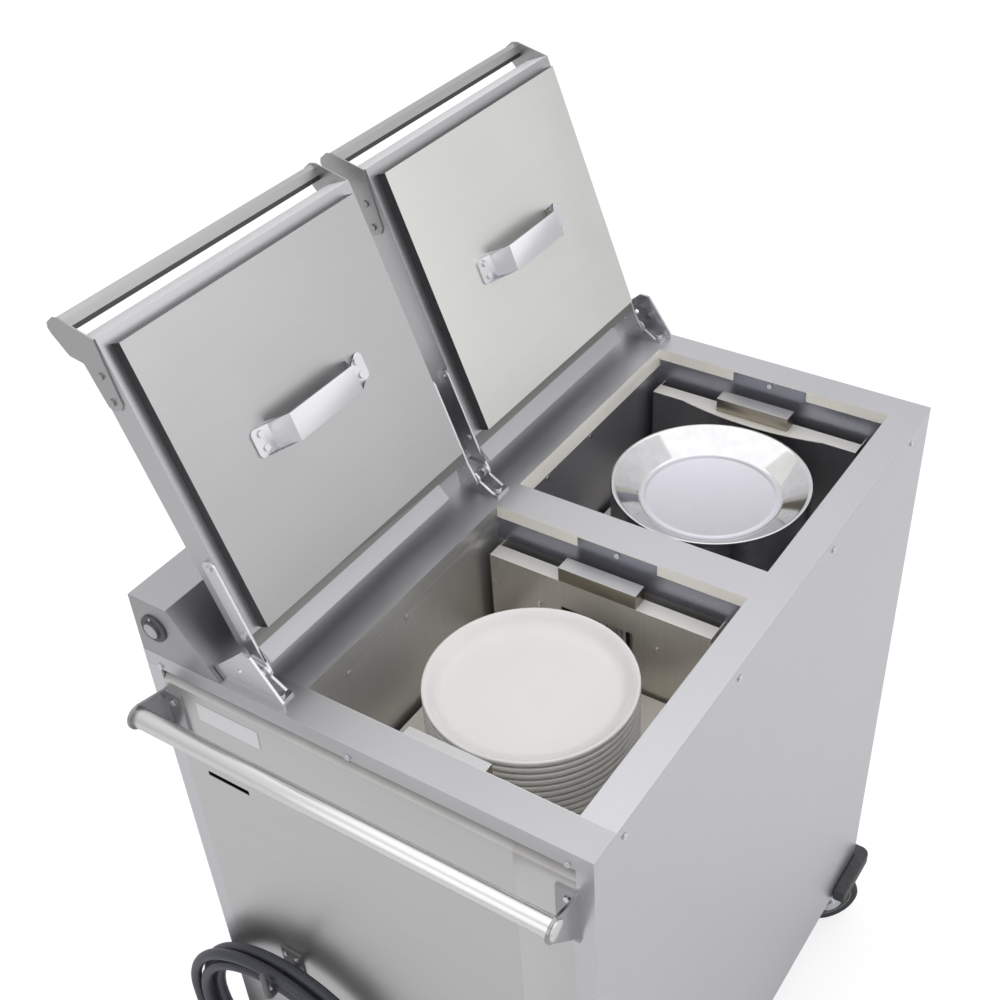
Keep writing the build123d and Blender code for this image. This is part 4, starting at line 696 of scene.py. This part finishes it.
# The housing's slope and its end faces are painted darker than its top, as painted shade.
repaint(housing, slope_painted_shade, lambda x, y, z: (
    slope_margin < x < housing_length - slope_margin and y < slope_rear and z > slope_foot))
repaint(housing, housing_end_painted_shade, lambda x, y, z: (
    x < housing_end_depth or x > housing_length - housing_end_depth))
finished("thermostat_body", thermostat_case, edge=1)
finished("label_plate", label_metal, edge=0.2)
knob_profile = [(0, -18), (3, -18), (3, -0.4), (15.4, -0.4), (16, 0.2), (16, 2.2), (15.4, 3), (14.2, 3.3),
                (12.8, 2.7), (11.2, 2.7), (10.6, 3.2), (10.4, 5.7), (9.8, 6.3), (9, 6.3), (8.7, 6), (0, 6)]
knob = turned(knob_profile, 64)
bmesh.ops.rotate(knob, verts=knob.verts, cent=(0, 0, 0), matrix=Matrix.Rotation(-math.pi / 2, 3, "Y"))
knob_place = at(0, 508.6, 1019.5)
knob_cap_radius, knob_cap_start = 0.0088, 0.0055
thermostat_dial = link_piece("thermostat_dial", put(knob, knob_place), knob_dark)
thermostat_dial.data.materials.append(knob_cap)
for face in thermostat_dial.data.polygons:
    away = face.center - knob_place
    if Vector((away.y, away.z)).length < knob_cap_radius and away.x < -knob_cap_start:
        face.material_index = 1
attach(thermostat_dial, home["thermostat_knob"])
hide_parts("thermostat_knob")
pointer = bmesh.new()
bmesh.ops.create_cube(pointer, size=1)
bmesh.ops.scale(pointer, verts=pointer.verts, vec=(0.0014, 0.0020, 0.0034))
put(pointer, knob_place + Vector((-0.0034, 0, 0.0131)))
bmesh.ops.bevel(pointer, geom=pointer.edges[:], offset=0.0004, segments=2, profile=0.5, affect="EDGES",
                material=-1)
dial_pointer = link_piece("dial_pointer", pointer, label_metal)
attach(dial_pointer, home["thermostat_knob"])

# ------------------------------------------------------------------ push handle
# A polished 22 mm tube with closed ends runs across the handle end, clamped in two
# folded brackets.
handle_polish = brushed("handle_polish", (0.82, 0.81, 0.80), (0.74, 0.73, 0.72), (0.24, 0.32), "y", 0.3, 0.02)
bracket_painted_shade = brushed("bracket_painted_shade", (0.42, 0.42, 0.43), (0.32, 0.32, 0.33), (0.2, 0.3), "z", 0.5)
hook_painted_shade = mottled("hook_painted_shade", (0.10, 0.10, 0.105), (0.14, 0.14, 0.145), 0.35, 0.5, 150, 0.2)
tube_profile = [(0, -255), (9.4, -255), (10.6, -254.4), (11, -253.2), (11, 253.2), (10.6, 254.4), (9.4, 255),
                (0, 255)]
tube = turned(tube_profile, 64)
bmesh.ops.rotate(tube, verts=tube.verts, cent=(0, 0, 0), matrix=Matrix.Rotation(math.pi / 2, 3, "X"))
handle_tube = link_piece("handle_tube", put(tube, at(-41, 268, 924)), handle_polish)
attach(handle_tube, "cart")
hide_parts("push_handle_tube")
# The handle brackets are painted dark grey, as painted shade on their inner sides.
finished("push_handle_brackets", bracket_painted_shade, edge=0.6)
# The cord hook is painted near-black, as the shade it hangs in above the coil.
finished("cord_hook", hook_painted_shade, edge=0.3)

# ------------------------------------------------------------------ lids and hinges
# Each lid is a shallow hollow shell with a stepped pan below, hung on two flat arms. A
# folded grip bar closes its front edge, and a bent strap is screwed to the pan.
shell_steel = brushed("shell_steel", (0.60, 0.60, 0.61), (0.50, 0.50, 0.51), (0.30, 0.40), "x", 0.5)
# The far lid's pan is painted lighter and warmer than the near one's, as painted light.
pan_steels = (brushed("near_pan_steel", (0.56, 0.56, 0.56), (0.48, 0.48, 0.48), (0.34, 0.44), "x", 0.5),
              brushed("far_pan_painted_light", (0.80, 0.795, 0.765), (0.71, 0.705, 0.675), (0.34, 0.44), "x", 0.5))
pan_step_painted_shade = brushed("pan_step_painted_shade", (0.12, 0.12, 0.125), (0.08, 0.08, 0.085), (0.3, 0.4), "z", 0.5)
lid_shade_steel = brushed("lid_shade_steel", (0.24, 0.24, 0.23), (0.17, 0.17, 0.16), (0.36, 0.46), "x", 0.5)
lip_painted_shade = brushed("lip_painted_shade", (0.46, 0.46, 0.48), (0.40, 0.40, 0.42), (0.34, 0.44), "x", 0.5)
lid_front_painted_light = brushed("lid_front_painted_light", (0.86, 0.86, 0.87), (0.78, 0.78, 0.79), (0.4, 0.5), "x", 0.4,
                          metallic=0.2)
grip_painted_shade = brushed("grip_painted_shade", (0.50, 0.50, 0.50), (0.42, 0.42, 0.42), (0.34, 0.44), "x", 0.5)
grip_edge_painted_shadow = brushed("grip_edge_painted_shadow", (0.10, 0.10, 0.10), (0.07, 0.07, 0.07), (0.34, 0.44), "x", 0.5)
strap_steel = brushed("strap_steel", (0.80, 0.80, 0.82), (0.72, 0.72, 0.74), (0.30, 0.40), "x", 0.4)
hinge_steel = brushed("hinge_steel", (0.76, 0.76, 0.78), (0.62, 0.62, 0.64), (0.22, 0.32), "y", 0.5)
hinge_y, hinge_z = 392, 993.6
lid_opening = math.radians(111.07)
pan_rear, pan_face_height, lid_frame_height = 348, 976, 988
lid_front, lip_front, rear_frame_rear = 30, 364, 366
grip_edge, grip_edge_rear, grip_edge_low, grip_edge_high = 18.5, 25, 1024, 1028


def shut(y, z):
    """Where a place on an open lid lies once the lid is shut."""
    along, up = y - hinge_y, z - hinge_z
    return (hinge_y + along * math.cos(lid_opening) - up * math.sin(lid_opening),
            hinge_z + along * math.sin(lid_opening) + up * math.cos(lid_opening))


def opened(y, z):
    """Where a place on a shut lid lies once the lid is open."""
    along, up = y - hinge_y, z - hinge_z
    return (hinge_y + along * math.cos(lid_opening) + up * math.sin(lid_opening),
            hinge_z - along * math.sin(lid_opening) + up * math.cos(lid_opening))


def on_pan_side(x, y, z):
    """The pan's narrow step, between its face and the lid's frame."""
    return pan_face_height + 1.5 < shut(y, z)[1] < lid_frame_height - 1.5


def on_lip(x, y, z):
    """The sloped lip along the rear edge of a lid."""
    place, height = shut(y, z)
    return place > lip_front and height < lid_frame_height + 2


def on_lid_front(x, y, z):
    """The front wall of a lid, behind the grip bar."""
    return shut(y, z)[0] < lid_front + 0.6


def on_grip_edge(x, y, z):
    """The bar's folded edge, beside the slit, painted as a shadow line."""
    place, height = shut(y, z)
    return grip_edge < place < grip_edge_rear and grip_edge_low < height < grip_edge_high


def on_rear_frame(x, y, z):
    """The flat strip between the pan and the lip."""
    place, height = shut(y, z)
    return pan_rear + 1 < place < rear_frame_rear and abs(height - lid_frame_height) < 0.6


across_lid = (0, math.cos(lid_opening), -math.sin(lid_opening))
frame_cut = (at(0, *opened(pan_rear + 1, lid_frame_height)), across_lid)
grip_cut = (at(0, *opened(grip_edge, (grip_edge_low + grip_edge_high) / 2)), across_lid)
for number in (1, 2):
    shell = finished(f"lid_shell_{number}", shell_steel, edge=0.8, cuts=[frame_cut])
    repaint(shell, lid_shade_steel, on_rear_frame)
    # The sloped lip is painted darker than the shell, as painted shade.
    repaint(shell, lip_painted_shade, on_lip)
    # The lid's front wall behind the grip bar is painted near-white, as painted light seen through the slit.
    repaint(shell, lid_front_painted_light, on_lid_front)
    pan = finished(f"lid_pan_{number}", pan_steels[number - 1], edge=0.8)
    # The pan's narrow step is painted near-black, as painted shade beside the pan's face.
    repaint(pan, pan_step_painted_shade, on_pan_side)
    # The grip bar is painted darker than the shell, as painted shade.
    grip = finished(f"grip_bar_{number}", grip_painted_shade, edge=0.6, cuts=[grip_cut])
    # The bar's edge beside the slit is painted near-black, as a painted shadow line.
    repaint(grip, grip_edge_painted_shadow, on_grip_edge)
    finished(f"lid_arms_{number}", hinge_steel, edge=0.5)
    finished(f"strap_handle_{number}", strap_steel, edge=0.5)
finished("hinge_brackets", hinge_steel, edge=0.5)
finished("hinge_pins", rod_chrome, edge=0.4)

# ------------------------------------------------------------------ screws and bolts
# Small pan-head screws hold the sheets. The caster bolts go up through the base pan.
screw_steel = mottled("screw_steel", (0.66, 0.66, 0.68), (0.80, 0.80, 0.82), 0.18, 0.3, 200, 0.05,
                      metallic=1.0)
finished("fasteners", screw_steel, edge=0.5)
